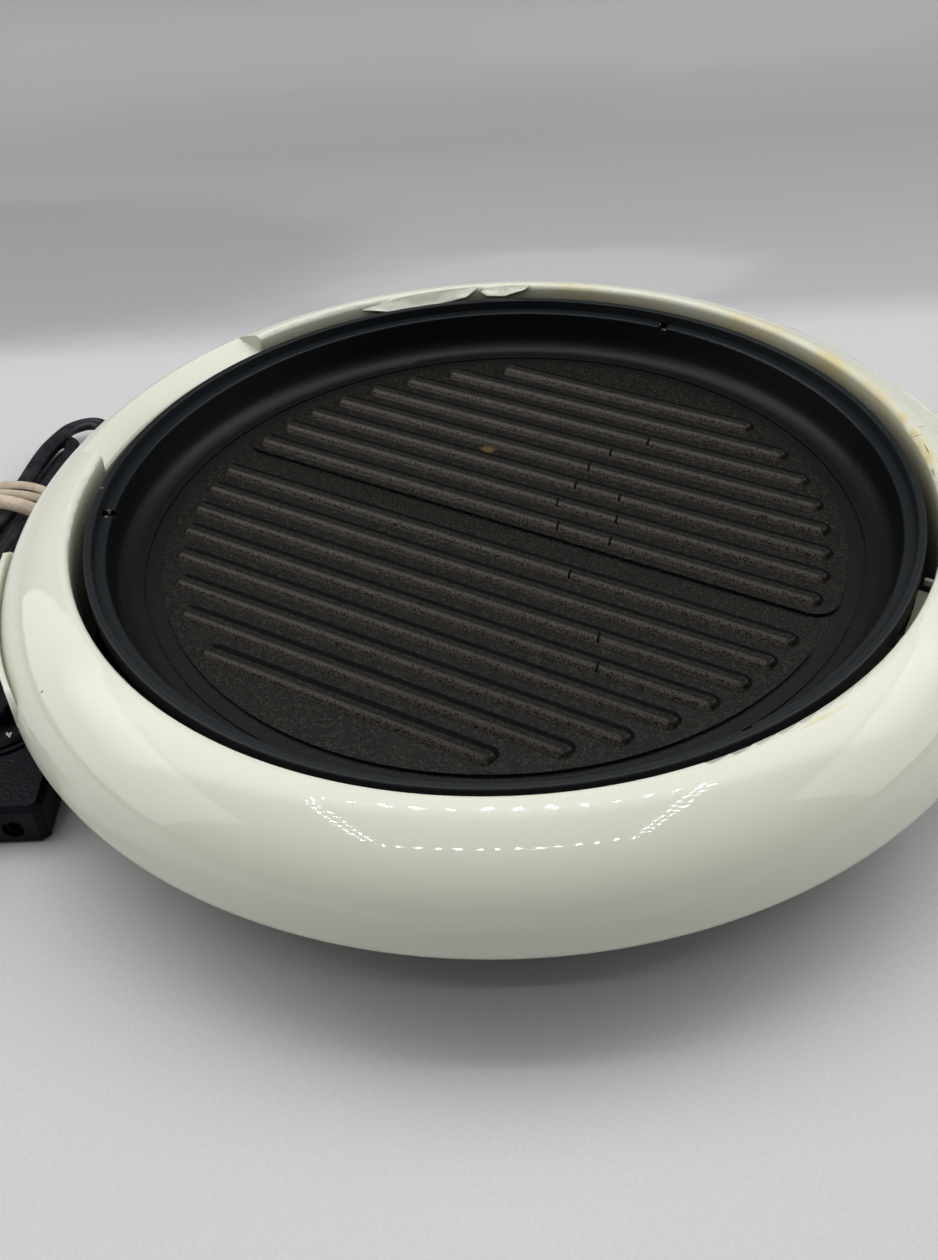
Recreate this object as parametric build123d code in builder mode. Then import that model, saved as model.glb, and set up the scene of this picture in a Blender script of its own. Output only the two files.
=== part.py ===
from build123d import *
import math
import os

# Round electric indoor grill: a ridged cast pan in a hollow white ring, with its loose
# temperature control and tied cord lying beside it.
# Millimetres. The origin is on the table under the centre of the ring. +X points at the
# opening for the control, along the ridges of the pan.

# Pan
rim_radius = 160
rim_height = 80
lip_width = 3.2
seat_drop = 4.2
seat_radius = 152.3
floor_height = 58.4
wall_foot_radius = 149.8
cove_radius = 6
pan_thickness = 3.6
skirt_radius = 155.5
skirt_height = 72
skirt_step = 1.5
skirt_draft = 1
pan_corner_radius = 8
rim_round = 0.9
lip_round = 0.5
seat_round = 0.8
circle_radius = 140.6
circle_width = 1.1
circle_depth = 0.7
plateau_radius = 134
plateau_gap = 11.2
plateau_rise = 1.4
plateau_corner = 9
ridge_count = 8
ridge_pitch = 14.2
first_ridge = 12.8
ridge_width = 7.4
ridge_rise = 2.8
ridge_reach = 127.5
ridge_draft = 14
ridge_round = 2.2
notch_width = 4
notch_depth = 2.2
notch_run = 1.3
notch_angles = (-30, 90, 210)

# Heating element, its terminals and the cast block that carries them
element_height = 50
element_tube_radius = 3.9
element_loop_radius = 104
element_loop_angles = (34, 75, 116, 157, 203, 244, 285, 326)
element_loop_bend = 60
element_leg_bend = 14
element_leg_turn = 98
element_leg_end = 128
rib_width = 14
rib_foot = 49
pin_offset = 16
pin_radius = 2.4
pin_end = 186
pin_chamfer = 0.8
insulator_radius = 4.6
insulator_end = 146
block_start = 114
block_end = 140
block_half_width = 28
block_bottom = 43.5
block_corner = 3
cast_overlap = 1
well_radius = 3.2
well_start = 94
well_end_wall = 4
well_boss_half_width = 7
guard_sheet = 1
guard_half_width = 30
guard_low = 41.4
guard_high = 54
guard_bend = 3
guard_reach = 178
guard_slot_length = 20
guard_slot_width = 5

# Ring housing: two half ellipses make its section
section_centre = 158.2
section_half_width = 38.9
belly_height = 48.8
crown_rise = 36
belly_drop = 16
shell_wall = 2.8
mouth_radius = 164.8
mouth_round = 2.4
parting_height = 36.5
rim_wall = 3.4
hidden_inset = 1

# Opening through the ring for the control
socket_half_width = 33
socket_floor = 39.1
socket_roof = 61
socket_corner = 4
socket_wall = 2.6
socket_reach = 159.6
socket_start = 150
roof_hole_width = 11
roof_hole_depth = 7

# Finger scoop in the crown, opposite the opening
scoop_width = 108
scoop_low = 75
scoop_slope = 27
scoop_end = 178
scoop_corner = 15

# Upright hand guards on two sides of the ring
hand_start_angle = 45
hand_span = 28
hand_radius = 197.3
hand_wall = 2.2
hand_top = 65.5
hand_foot = 52
hand_root = 4
hand_root_width = 1.5
hand_edge = 1
hand_round = 9

# Base under the ring
base_bottom = 8
base_wall = 2.5
base_foot_radius = 157
base_shoulder_radius = 166
base_shoulder_height = 31
base_floor_edge = 155.3
base_shoulder_inside = 34.8
boss_count = 6
boss_start_angle = 30
boss_ring = 174
boss_radius = 4.2
seat_boss_radius = 6.2
seat_boss_bottom = 29
screw_radius = 1.9
screw_head_radius = 3.7
screw_head_height = 2.2
screw_head_gap = 0.3
screw_slot = 1
screw_head_bottom = 30
screw_end = 52
foot_count = 4
foot_start_angle = 45
foot_ring = 118
foot_radius = 10
foot_draft = 4
foot_edge = 1
foot_stem_radius = 3
foot_knob_radius = 4
foot_knob_height = 3
foot_knob_draft = 18
vent_ring = 84
vent_count = 18
vent_length = 34
vent_width = 4.5

# Heat reflector and the brackets that carry the pan
reflector_radius = 134
reflector_sheet = 0.8
reflector_height = 18
reflector_floor_radius = 112
reflector_rim_height = 28
reflector_post_count = 3
reflector_post_ring = 50
reflector_post_radius = 5
small_screw_radius = 1.4
small_head_radius = 3.2
small_head_height = 1.8
small_head_draft = 15
small_screw_depth = 6
bracket_count = 3
bracket_start_angle = 60
bracket_width = 16
bracket_sheet = 1.4
bracket_upright = 144
bracket_inner = 134
bracket_outer = 153.5
bracket_screw_ring = 149.6
bracket_screw_end = 8.8

# Loose control, in a plane turned by side_turn from the ridges
side_turn = 30.8
control_place = (-201.1, -101)
control_width = 56
control_length = 100
control_height = 18
control_parting = 7.6
control_wall = 2
control_corner = 3
control_bevel = 2.2
socket_hole_radius = 4.1
contact_radius = 3.6
contact_bore = 2.5
contact_length = 20
probe_radius = 2.6
probe_length = 75
probe_root = 14
probe_tip_chamfer = 1.2
dial_place = 50
dial_radius = 20
dial_gap = 0.4
dial_skirt = 2.8
dial_grip_radius = 10.5
dial_top = 28
dial_edge = 1.2
dial_draft = 2
dial_flutes = 12
flute_radius = 2.6
pointer_width = 2.4
pointer_depth = 0.8
shaft_radius = 3
shaft_clearance = 0.05
shaft_bottom = 12.2
collar_width = 2
collar_height = 1
switch_start = 26
switch_end = 70
switch_width = 34
switch_top = 11.8
switch_corner = 2
case_boss_radius = 3.4
case_screw_places = ((-22, 28), (22, 28), (-22, 90), (22, 90))
relief_length = 22
relief_radius = 5
relief_tip_radius = 4.3
relief_flange_radius = 5.5
relief_flange_width = 3

# Flat twin cord, its folded hank, the band round both and the plug. The routes give for every
# point the distance along and across the photographed side and the height.
core_radius = 2.45
core_spacing = 3.1
web_height = 2.4
hank_start = (-250, 36)
hank_end = (-221.5, 169)
hank_width = 30
hank_height = 17
hank_corner = 10
hank_round = 4
cord_level = 8.5
control_cord_route = (
    (-201.1, 21, control_parting),
    (-201.1, 40, control_parting),
    (-203.5, 70, 5),
    (-206.6, 108, 5),
    (-204.8, 144, 6.5),
    (-203.7, 164, 8.5),
    (-204, 179.5, 8.5),
    (-212, 183.8, 8.5),
)
control_cord_tail = 9
plug_cord_tail = 14
plug_cord_route = (
    (-258.5, -4, 4),
    (-262.5, -28, 5.5),
    (-263, -46, 9),
    (-263, -62, 9),
)
band_distance = 70
band_width = 12
band_sheet = 1.5
band_inner_start = -15
band_inner_end = 36.5
band_inner_height = 16
band_inner_corner = 4
plug_place = (-263, -62)
plug_length = 34
plug_width = 25
plug_height = 18
plug_rear_width = 14
plug_rear_height = 11
plug_taper_length = 16
plug_round = 3
blade_length = 17
blade_root = 8
blade_width = 6.3
blade_sheet = 1.5
blade_spacing = 12.7

# Share of the shorter run that a bend in a route may take, and how far cutting solids reach out
bend_share = 0.45
past_edge = 5

os.makedirs("parts", exist_ok=True)


def keep(piece, name):
    """Label a finished piece and write its STEP file."""
    piece.part.label = name
    export_step(piece.part, f"parts/{name}.step")


def polar(radius, angle):
    return (radius * math.cos(math.radians(angle)), radius * math.sin(math.radians(angle)))


def bend_radii(points):
    """Largest even bends for a route: a share of the shorter run over the tangent of half the turn."""
    radii = []
    for before, corner, after in zip(points, points[1:], points[2:]):
        arriving = Vector(*corner) - Vector(*before)
        leaving = Vector(*after) - Vector(*corner)
        half_turn = math.radians(arriving.get_angle(leaving)) / 2
        radii.append(bend_share * min(arriving.length, leaving.length) / math.tan(half_turn))
    return radii


def side_point(along, across, height):
    """Turn distances along and across the photographed side into a point of the model."""
    first = polar(along, side_turn)
    second = polar(across, side_turn + 90)
    return (first[0] + second[0], first[1] + second[1], height)


def side_plane(place, turn=0.0):
    """A level plane on the table at a place given along and across the photographed side."""
    x_dir = (*polar(1, side_turn + turn), 0)
    return Plane(origin=side_point(*place, 0), x_dir=x_dir, z_dir=(0, 0, 1))


# Grill pan
pan_bottom = floor_height - pan_thickness
seat_height = rim_height - seat_drop
lip_inner = rim_radius - lip_width
cast_top = floor_height - cast_overlap

element_loop = [polar(element_loop_radius, angle) for angle in element_loop_angles]
element_route = [
    (element_leg_end, pin_offset),
    (element_leg_turn, pin_offset),
    *element_loop,
    (element_leg_turn, -pin_offset),
    (element_leg_end, -pin_offset),
]
element_bends = [element_leg_bend] + [element_loop_bend] * len(element_loop) + [element_leg_bend]

with BuildLine(Plane.XY.offset(element_height)) as element_path:
    FilletPolyline(*element_route, radius=element_bends)
element_start = Plane(
    origin=(element_leg_end, pin_offset, element_height), x_dir=(0, -1, 0), z_dir=(-1, 0, 0)
)

with BuildPart() as ridges:
    for side in (1, -1):
        with BuildSketch(Plane.XY.offset(floor_height + plateau_rise / 2)):
            for index in range(ridge_count):
                distance = first_ridge + index * ridge_pitch
                length = 2 * math.sqrt(ridge_reach**2 - distance**2)
                with Locations((0, side * distance)):
                    SlotOverall(length, ridge_width)
        extrude(amount=ridge_rise + plateau_rise / 2, taper=ridge_draft)
    fillet(ridges.edges().group_by(Axis.Z)[-1], ridge_round)

with BuildPart() as grill_pan:
    with BuildSketch(Plane.XZ) as pan_section:
        with BuildLine():
            Polyline(
                (0, floor_height),
                (wall_foot_radius, floor_height),
                (seat_radius, seat_height),
                (lip_inner, seat_height),
                (lip_inner, rim_height),
                (rim_radius, rim_height),
                (rim_radius, skirt_height),
                (skirt_radius, skirt_height - skirt_step),
                (skirt_radius - skirt_draft, pan_bottom),
                (0, pan_bottom),
                (0, floor_height),
            )
        make_face()
        for corner, radius in (
            ((wall_foot_radius, floor_height), cove_radius),
            ((skirt_radius - skirt_draft, pan_bottom), pan_corner_radius),
            ((rim_radius, rim_height), rim_round),
            ((lip_inner, rim_height), lip_round),
            ((seat_radius, seat_height), seat_round),
        ):
            fillet(pan_section.vertices().sort_by_distance(corner)[0], radius)
    revolve(axis=Axis.Z)
    with BuildSketch(Plane.XY.offset(floor_height)):
        Circle(circle_radius + circle_width / 2)
        Circle(circle_radius - circle_width / 2, mode=Mode.SUBTRACT)
    extrude(amount=-circle_depth, mode=Mode.SUBTRACT)
    with BuildSketch(Plane.XY.offset(floor_height)) as plateaus:
        Circle(plateau_radius)
        Rectangle(3 * plateau_radius, plateau_gap, mode=Mode.SUBTRACT)
        fillet(plateaus.vertices(), plateau_corner)
    extrude(amount=plateau_rise)
    add(ridges.part)
    with BuildSketch(Plane.XY.offset(seat_height)):
        with PolarLocations((seat_radius + lip_inner) / 2, len(notch_angles), notch_angles[0]):
            Rectangle(lip_inner - seat_radius + 2 * notch_run, notch_width)
    extrude(amount=-notch_depth, mode=Mode.SUBTRACT)
    with BuildSketch(Plane.XY.offset(block_bottom)):
        with Locations(((block_start + block_end) / 2, 0)):
            RectangleRounded(block_end - block_start, 2 * block_half_width, block_corner)
        with Locations(((well_start + block_start) / 2, 0)):
            Rectangle(block_start - well_start + 2 * well_end_wall, 2 * well_boss_half_width)
    extrude(amount=cast_top - block_bottom)
    with BuildSketch(element_start):
        with Locations((0, (rib_foot + cast_top) / 2 - element_height)):
            Rectangle(rib_width, cast_top - rib_foot)
    sweep(path=element_path.line, transition=Transition.ROUND)
    with BuildSketch(element_start):
        Circle(element_tube_radius)
    sweep(path=element_path.line, mode=Mode.SUBTRACT)
    with BuildSketch(Plane.YZ.offset(block_end)):
        with Locations((pin_offset, element_height), (-pin_offset, element_height)):
            Circle(insulator_radius)
    extrude(amount=-(block_end - element_leg_end), mode=Mode.SUBTRACT)
    with BuildSketch(Plane.YZ.offset(block_end)):
        with Locations((0, element_height)):
            Circle(well_radius)
    extrude(amount=-(block_end - well_start - well_end_wall), mode=Mode.SUBTRACT)
keep(grill_pan, "grill_pan")

with BuildPart() as heating_element:
    with BuildSketch(element_start):
        Circle(element_tube_radius)
    sweep(path=element_path.line)
keep(heating_element, "heating_element")

with BuildPart() as terminal_pins:
    with BuildSketch(Plane.YZ.offset(element_leg_end)):
        with Locations((pin_offset, element_height), (-pin_offset, element_height)):
            Circle(pin_radius)
    extrude(amount=pin_end - element_leg_end)
    chamfer(terminal_pins.edges().group_by(Axis.X)[-1], pin_chamfer)
keep(terminal_pins, "terminal_pins")

with BuildPart() as pin_insulators:
    with BuildSketch(Plane.YZ.offset(element_leg_end)):
        with Locations((pin_offset, element_height), (-pin_offset, element_height)):
            Circle(insulator_radius)
            Circle(pin_radius, mode=Mode.SUBTRACT)
    extrude(amount=insulator_end - element_leg_end)
keep(pin_insulators, "pin_insulators")

# Folded sheet guard round the pins, open on top and towards the control
with BuildPart() as terminal_guard:
    with BuildSketch(Plane.XY.offset(guard_low)):
        with Locations((block_end, 0)):
            Rectangle(guard_reach - block_end, 2 * guard_half_width, align=(Align.MIN, Align.CENTER))
    extrude(amount=guard_high - guard_low)
    guard_folds = terminal_guard.edges().filter_by(Axis.X).group_by(Axis.Z)[0]
    fillet(guard_folds, guard_bend)
    guard_mouth = terminal_guard.faces().sort_by(Axis.X)[-1]
    guard_ceiling = terminal_guard.faces().sort_by(Axis.Z)[-1]
    offset(amount=-guard_sheet, openings=[guard_mouth, guard_ceiling])
    with BuildSketch(Plane.YZ.offset(block_end)):
        with Locations((pin_offset, element_height), (-pin_offset, element_height)):
            Circle(insulator_radius)
        with Locations((0, element_height)):
            Circle(well_radius)
    extrude(amount=guard_sheet, mode=Mode.SUBTRACT)
    with BuildSketch(Plane.XY.offset(guard_low)):
        with GridLocations(0, guard_half_width, 1, 2):
            with Locations(((insulator_end + guard_reach) / 2, 0)):
                SlotOverall(guard_slot_length, guard_slot_width)
    extrude(amount=guard_sheet, mode=Mode.SUBTRACT)
keep(terminal_guard, "terminal_guard")

# Ring housing, moulded in one piece with its guards and the walls of the opening
belly_share = (belly_height - parting_height) / belly_drop
base_rim_radius = section_centre + section_half_width * math.sqrt(1 - belly_share**2)
beyond_ring = section_centre + section_half_width + past_edge
opening_height = socket_roof - socket_floor
opening_centre = (socket_floor + socket_roof) / 2


def ring_profile(inset=0.0):
    """Rounded section of the ring, drawn flat and moved inwards by an even inset."""
    half_width = section_half_width - inset
    rise = crown_rise - inset
    drop = belly_drop - inset
    with BuildSketch() as profile:
        with BuildLine():
            EllipticalCenterArc((section_centre, belly_height), half_width, drop, -90, arc_size=90)
            EllipticalCenterArc((section_centre, belly_height), half_width, rise, 0, arc_size=180)
            Line((section_centre - half_width, belly_height), (section_centre, belly_height - drop))
        make_face()
    return profile.sketch


def screw_ring(count, start, ring, radius):
    with PolarLocations(ring, count, start):
        Circle(radius)


with BuildPart() as ring_envelope:
    with BuildSketch(Plane.XZ):
        add(ring_profile(hidden_inset))
    revolve(axis=Axis.Z)

with BuildPart() as opening_walls:
    with BuildSketch(Plane.YZ.offset(socket_start)):
        with Locations((0, opening_centre)):
            RectangleRounded(
                2 * (socket_half_width + socket_wall),
                opening_height + 2 * socket_wall,
                socket_corner + socket_wall,
            )
            RectangleRounded(
                2 * socket_half_width, opening_height, socket_corner, mode=Mode.SUBTRACT
            )
    extrude(amount=beyond_ring - socket_start)
    add(ring_envelope.part, mode=Mode.INTERSECT)
    with BuildSketch(Plane.XY.offset(parting_height)):
        Circle(socket_reach)
    extrude(amount=rim_height - parting_height, mode=Mode.SUBTRACT)
    with BuildSketch(Plane.XY.offset(socket_roof)):
        with Locations((socket_reach + roof_hole_depth, 0)):
            Rectangle(socket_reach, roof_hole_width, align=(Align.MAX, Align.CENTER))
    extrude(amount=socket_wall, mode=Mode.SUBTRACT)

with BuildPart() as screw_bosses:
    with BuildSketch(Plane.XY.offset(parting_height)):
        screw_ring(boss_count, boss_start_angle, boss_ring, boss_radius)
    extrude(amount=crown_rise + belly_height - parting_height)
    add(ring_envelope.part, mode=Mode.INTERSECT)
    with BuildSketch(Plane.XY.offset(parting_height)):
        screw_ring(boss_count, boss_start_angle, boss_ring, screw_radius)
    extrude(amount=screw_end - parting_height, mode=Mode.SUBTRACT)

with BuildPart() as hand_guard:
    with BuildSketch(Plane.XZ) as guard_section:
        with BuildLine():
            Polyline(
                (hand_radius, hand_foot),
                (hand_radius, hand_top),
                (hand_radius - hand_wall, hand_top),
                (hand_radius - hand_wall, hand_foot + hand_root),
                (hand_radius - hand_root - hand_wall, hand_foot - hand_root),
                (hand_radius - hand_root_width * hand_wall, hand_foot - hand_root),
                (hand_radius, hand_foot),
            )
        make_face()
        fillet(guard_section.vertices().group_by(Axis.Y)[-1], hand_edge)
    revolve(axis=Axis.Z, revolution_arc=hand_span)
    middle = hand_span / 2
    end_view = Plane(
        origin=(0, 0, 0), x_dir=(*polar(1, middle + 90), 0), z_dir=(*polar(1, middle), 0)
    )
    with BuildSketch(end_view):
        with Locations((0, hand_foot - hand_root)):
            RectangleRounded(
                2 * hand_radius * math.sin(math.radians(middle)),
                2 * (hand_top - hand_foot + hand_root),
                hand_round,
            )
    extrude(amount=beyond_ring, mode=Mode.INTERSECT)


def scoop_wedge(growth=0.0):
    """The finger scoop as a solid, grown all round so that a wall can be left under it."""
    low = scoop_low - growth
    run = scoop_end + growth - mouth_radius
    top = rim_height + 2 * past_edge
    with BuildPart() as wedge:
        with BuildSketch(Plane.XZ):
            with BuildLine():
                Polyline(
                    (mouth_radius - past_edge, low),
                    (mouth_radius, low),
                    (mouth_radius + run, low + run * math.tan(math.radians(scoop_slope))),
                    (mouth_radius + run, top),
                    (mouth_radius - past_edge, top),
                    (mouth_radius - past_edge, low),
                )
            make_face()
        revolve(axis=Axis.Z)
        with BuildSketch(Plane.XY.offset(low)):
            with Locations((-scoop_end - growth, 0)):
                RectangleRounded(
                    scoop_end,
                    scoop_width + 2 * growth,
                    scoop_corner + growth,
                    align=(Align.MIN, Align.CENTER),
                )
        extrude(amount=top - low, mode=Mode.INTERSECT)
    return wedge.part


with BuildPart() as ring_room:
    with BuildSketch(Plane.XZ):
        add(ring_profile(shell_wall))
        with Locations((mouth_radius + shell_wall, belly_height)):
            Rectangle(
                2 * section_half_width,
                2 * crown_rise,
                align=(Align.MIN, Align.CENTER),
                mode=Mode.INTERSECT,
            )
        with Locations((mouth_radius + shell_wall, parting_height)):
            Rectangle(
                base_rim_radius - rim_wall - mouth_radius - shell_wall,
                2 * shell_wall,
                align=(Align.MIN, Align.CENTER),
            )
    revolve(axis=Axis.Z)
    add(scoop_wedge(shell_wall), mode=Mode.SUBTRACT)

with BuildPart() as housing_ring:
    with BuildSketch(Plane.XZ) as ring_section:
        add(ring_profile())
        with Locations((mouth_radius, parting_height)):
            Rectangle(
                2 * section_half_width,
                2 * crown_rise,
                align=(Align.MIN, Align.MIN),
                mode=Mode.INTERSECT,
            )
        mouth_edge = ring_section.vertices().sort_by_distance((mouth_radius, rim_height + past_edge))[0]
        fillet(mouth_edge, mouth_round)
    revolve(axis=Axis.Z)
    with PolarLocations(0, 2, hand_start_angle - hand_span / 2):
        add(hand_guard.part)
    add(ring_room.part, mode=Mode.SUBTRACT)
    add(scoop_wedge(), mode=Mode.SUBTRACT)
    with BuildSketch(Plane.YZ.offset(socket_reach)):
        with Locations((0, opening_centre)):
            RectangleRounded(2 * socket_half_width, opening_height, socket_corner)
    extrude(amount=beyond_ring - socket_reach, mode=Mode.SUBTRACT)
    add(opening_walls.part)
    add(screw_bosses.part)
keep(housing_ring, "housing_ring")

# Base under the ring: a pan with a stepped flange, vents and seats for its screws
base_floor = base_bottom + base_wall
with BuildPart() as base_shell:
    with BuildSketch(Plane.XZ):
        with BuildLine():
            Polyline(
                (0, base_bottom),
                (base_foot_radius, base_bottom),
                (base_shoulder_radius, base_shoulder_height),
                (base_rim_radius, parting_height),
                (mouth_radius, parting_height),
                (mouth_radius, base_shoulder_inside),
                (base_floor_edge, base_floor),
                (0, base_floor),
                (0, base_bottom),
            )
        make_face()
    revolve(axis=Axis.Z)
    with BuildSketch(Plane.XY.offset(seat_boss_bottom)):
        screw_ring(boss_count, boss_start_angle, boss_ring, seat_boss_radius)
    extrude(amount=parting_height - seat_boss_bottom)
    with BuildSketch(Plane.XY.offset(seat_boss_bottom)):
        screw_ring(boss_count, boss_start_angle, boss_ring, screw_radius)
    extrude(amount=parting_height - seat_boss_bottom, mode=Mode.SUBTRACT)
    with BuildSketch(Plane.XY.offset(seat_boss_bottom)):
        screw_ring(boss_count, boss_start_angle, boss_ring, screw_head_radius + screw_head_gap)
    extrude(amount=screw_head_bottom + screw_head_height - seat_boss_bottom, mode=Mode.SUBTRACT)
    with BuildSketch(Plane.XY.offset(base_bottom)):
        with PolarLocations(vent_ring, vent_count, 180 / vent_count):
            SlotOverall(vent_length, vent_width)
        screw_ring(foot_count, foot_start_angle, foot_ring, foot_stem_radius)
    extrude(amount=base_wall, mode=Mode.SUBTRACT)
    with BuildSketch(Plane.XY.offset(base_floor)):
        screw_ring(reflector_post_count, 0, reflector_post_ring, reflector_post_radius)
    extrude(amount=reflector_height - base_floor)
    with BuildSketch(Plane.XY.offset(reflector_height)):
        screw_ring(reflector_post_count, 0, reflector_post_ring, small_screw_radius)
    extrude(amount=-small_screw_depth, mode=Mode.SUBTRACT)
    with BuildSketch(Plane.XY.offset(base_floor)):
        screw_ring(bracket_count, bracket_start_angle, bracket_screw_ring, small_screw_radius)
    extrude(amount=bracket_screw_end - base_floor, mode=Mode.SUBTRACT)
keep(base_shell, "base_shell")

with BuildPart() as shell_screws:
    with BuildSketch(Plane.XY.offset(screw_head_bottom)):
        screw_ring(boss_count, boss_start_angle, boss_ring, screw_head_radius)
    extrude(amount=screw_head_height)
    with BuildSketch(Plane.XY.offset(screw_head_bottom + screw_head_height)):
        screw_ring(boss_count, boss_start_angle, boss_ring, screw_radius)
    extrude(amount=screw_end - screw_head_bottom - screw_head_height)
    with BuildSketch(Plane.XY.offset(screw_head_bottom)):
        with PolarLocations(boss_ring, boss_count, boss_start_angle):
            Rectangle(screw_slot, screw_head_radius)
            Rectangle(screw_head_radius, screw_slot)
    extrude(amount=screw_head_height / 2, mode=Mode.SUBTRACT)
keep(shell_screws, "shell_screws")

for index in range(foot_count):
    foot_place = polar(foot_ring, foot_start_angle + index * 360 / foot_count)
    with BuildPart() as foot:
        with BuildSketch(Plane.XY.offset(base_bottom)):
            with Locations(foot_place):
                Circle(foot_radius)
        extrude(amount=-base_bottom, taper=foot_draft)
        chamfer(foot.edges().group_by(Axis.Z)[0], foot_edge)
        with BuildSketch(Plane.XY.offset(base_bottom)):
            with Locations(foot_place):
                Circle(foot_stem_radius)
        extrude(amount=base_wall)
        with BuildSketch(Plane.XY.offset(base_floor)):
            with Locations(foot_place):
                Circle(foot_knob_radius)
        extrude(amount=foot_knob_height, taper=foot_knob_draft)
    keep(foot, f"foot_{index + 1}")

# Bright sheet dish that throws the heat back at the pan
with BuildPart() as heat_reflector:
    with BuildSketch(Plane.XZ):
        with BuildLine():
            Polyline(
                (0, reflector_height),
                (reflector_floor_radius, reflector_height),
                (reflector_radius, reflector_rim_height),
                (reflector_radius, reflector_rim_height + reflector_sheet),
                (reflector_floor_radius, reflector_height + reflector_sheet),
                (0, reflector_height + reflector_sheet),
                (0, reflector_height),
            )
        make_face()
    revolve(axis=Axis.Z)
    with BuildSketch(Plane.XY.offset(reflector_height)):
        screw_ring(reflector_post_count, 0, reflector_post_ring, small_screw_radius)
    extrude(amount=reflector_sheet, mode=Mode.SUBTRACT)
keep(heat_reflector, "heat_reflector")

with BuildPart() as reflector_screws:
    with BuildSketch(Plane.XY.offset(reflector_height + reflector_sheet)):
        screw_ring(reflector_post_count, 0, reflector_post_ring, small_head_radius)
    extrude(amount=small_head_height, taper=small_head_draft)
    with BuildSketch(Plane.XY.offset(reflector_height + reflector_sheet)):
        screw_ring(reflector_post_count, 0, reflector_post_ring, small_screw_radius)
    extrude(amount=-small_screw_depth)
keep(reflector_screws, "reflector_screws")

for index in range(bracket_count):
    turn = bracket_start_angle + index * 360 / bracket_count
    bracket_plane = Plane(
        origin=(0, 0, 0), x_dir=(*polar(1, turn), 0), z_dir=(*polar(1, turn - 90), 0)
    )
    with BuildPart() as bracket:
        with BuildSketch(bracket_plane):
            with BuildLine():
                Polyline(
                    (bracket_outer, base_floor),
                    (bracket_outer, base_floor + bracket_sheet),
                    (bracket_upright + bracket_sheet, base_floor + bracket_sheet),
                    (bracket_upright + bracket_sheet, pan_bottom),
                    (bracket_inner, pan_bottom),
                    (bracket_inner, pan_bottom - bracket_sheet),
                    (bracket_upright, pan_bottom - bracket_sheet),
                    (bracket_upright, base_floor),
                    (bracket_outer, base_floor),
                )
            make_face()
        extrude(amount=bracket_width / 2, both=True)
        with BuildSketch(Plane.XY.offset(base_floor)):
            with Locations(polar(bracket_screw_ring, turn)):
                Circle(small_screw_radius)
        extrude(amount=bracket_sheet, mode=Mode.SUBTRACT)
    keep(bracket, f"bracket_{index + 1}")

with BuildPart() as bracket_screws:
    with BuildSketch(Plane.XY.offset(base_floor + bracket_sheet)):
        screw_ring(bracket_count, bracket_start_angle, bracket_screw_ring, small_head_radius)
    extrude(amount=small_head_height, taper=small_head_draft)
    with BuildSketch(Plane.XY.offset(bracket_screw_end)):
        screw_ring(bracket_count, bracket_start_angle, bracket_screw_ring, small_screw_radius)
    extrude(amount=base_floor + bracket_sheet - bracket_screw_end)
keep(bracket_screws, "bracket_screws")

# Loose control, lying on the table with its probe towards the viewer. Its sketches use a plane
# through its front face: x across, y up, and a negative offset goes back along the control.
control_plane = side_plane(control_place)
control_front = Plane(
    origin=control_plane.origin, x_dir=control_plane.x_dir, z_dir=-control_plane.y_dir
)
contact_places = [(pin_offset, control_parting), (-pin_offset, control_parting)]
probe_place = (0, control_parting)
dial_centre = (0, dial_place)


def control_shell(kept_side):
    """One half of the control's case, hollow, with half of every hole at its parting line."""
    with BuildPart() as case:
        with BuildSketch(control_plane) as outline:
            with Locations((0, control_length / 2)):
                Rectangle(control_width, control_length)
            chamfer(outline.vertices(), control_corner)
        extrude(amount=control_height)
        chamfer(case.faces().sort_by(Axis.Z)[-1].edges(), control_bevel)
        chamfer(case.faces().sort_by(Axis.Z)[0].edges(), control_bevel / 2)
        with BuildSketch(control_plane.offset(control_wall)) as room:
            with Locations((0, control_length / 2)):
                Rectangle(control_width - 2 * control_wall, control_length - 2 * control_wall)
            chamfer(room.vertices(), control_corner)
        extrude(amount=control_height - 2 * control_wall, mode=Mode.SUBTRACT)
        with BuildSketch(control_plane.offset(control_wall / 2)):
            with Locations(*case_screw_places):
                Circle(case_boss_radius)
        extrude(amount=control_height - control_wall)
        with BuildSketch(control_plane):
            with Locations(*case_screw_places):
                Circle(small_screw_radius)
        extrude(amount=control_height - control_bevel, mode=Mode.SUBTRACT)
        with BuildSketch(control_plane):
            with Locations(*case_screw_places):
                Circle(small_head_radius)
        extrude(amount=control_wall, mode=Mode.SUBTRACT)
        with BuildSketch(control_plane.offset(control_height)):
            with Locations(dial_centre):
                Circle(dial_radius + dial_gap + collar_width)
        extrude(amount=collar_height)
        with BuildSketch(control_plane.offset(control_height)):
            with Locations(dial_centre):
                Circle(dial_radius + dial_gap)
        extrude(amount=collar_height, mode=Mode.SUBTRACT)
        with BuildSketch(control_plane.offset(control_height - control_wall)):
            with Locations(dial_centre):
                Circle(shaft_radius + shaft_clearance)
        extrude(amount=control_wall, mode=Mode.SUBTRACT)
        with BuildSketch(control_front):
            with Locations(*contact_places):
                Circle(socket_hole_radius)
            with Locations(probe_place):
                Circle(probe_radius)
        extrude(amount=-control_wall, mode=Mode.SUBTRACT)
        with BuildSketch(control_front.offset(control_wall - control_length)):
            with Locations(probe_place):
                Circle(relief_radius)
        extrude(amount=-control_wall, mode=Mode.SUBTRACT)
        split(bisect_by=control_plane.offset(control_parting), keep=kept_side)
    return case


control_lower_case = control_shell(Keep.BOTTOM)
keep(control_lower_case, "control_lower_case")
control_upper_case = control_shell(Keep.TOP)
keep(control_upper_case, "control_upper_case")

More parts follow.
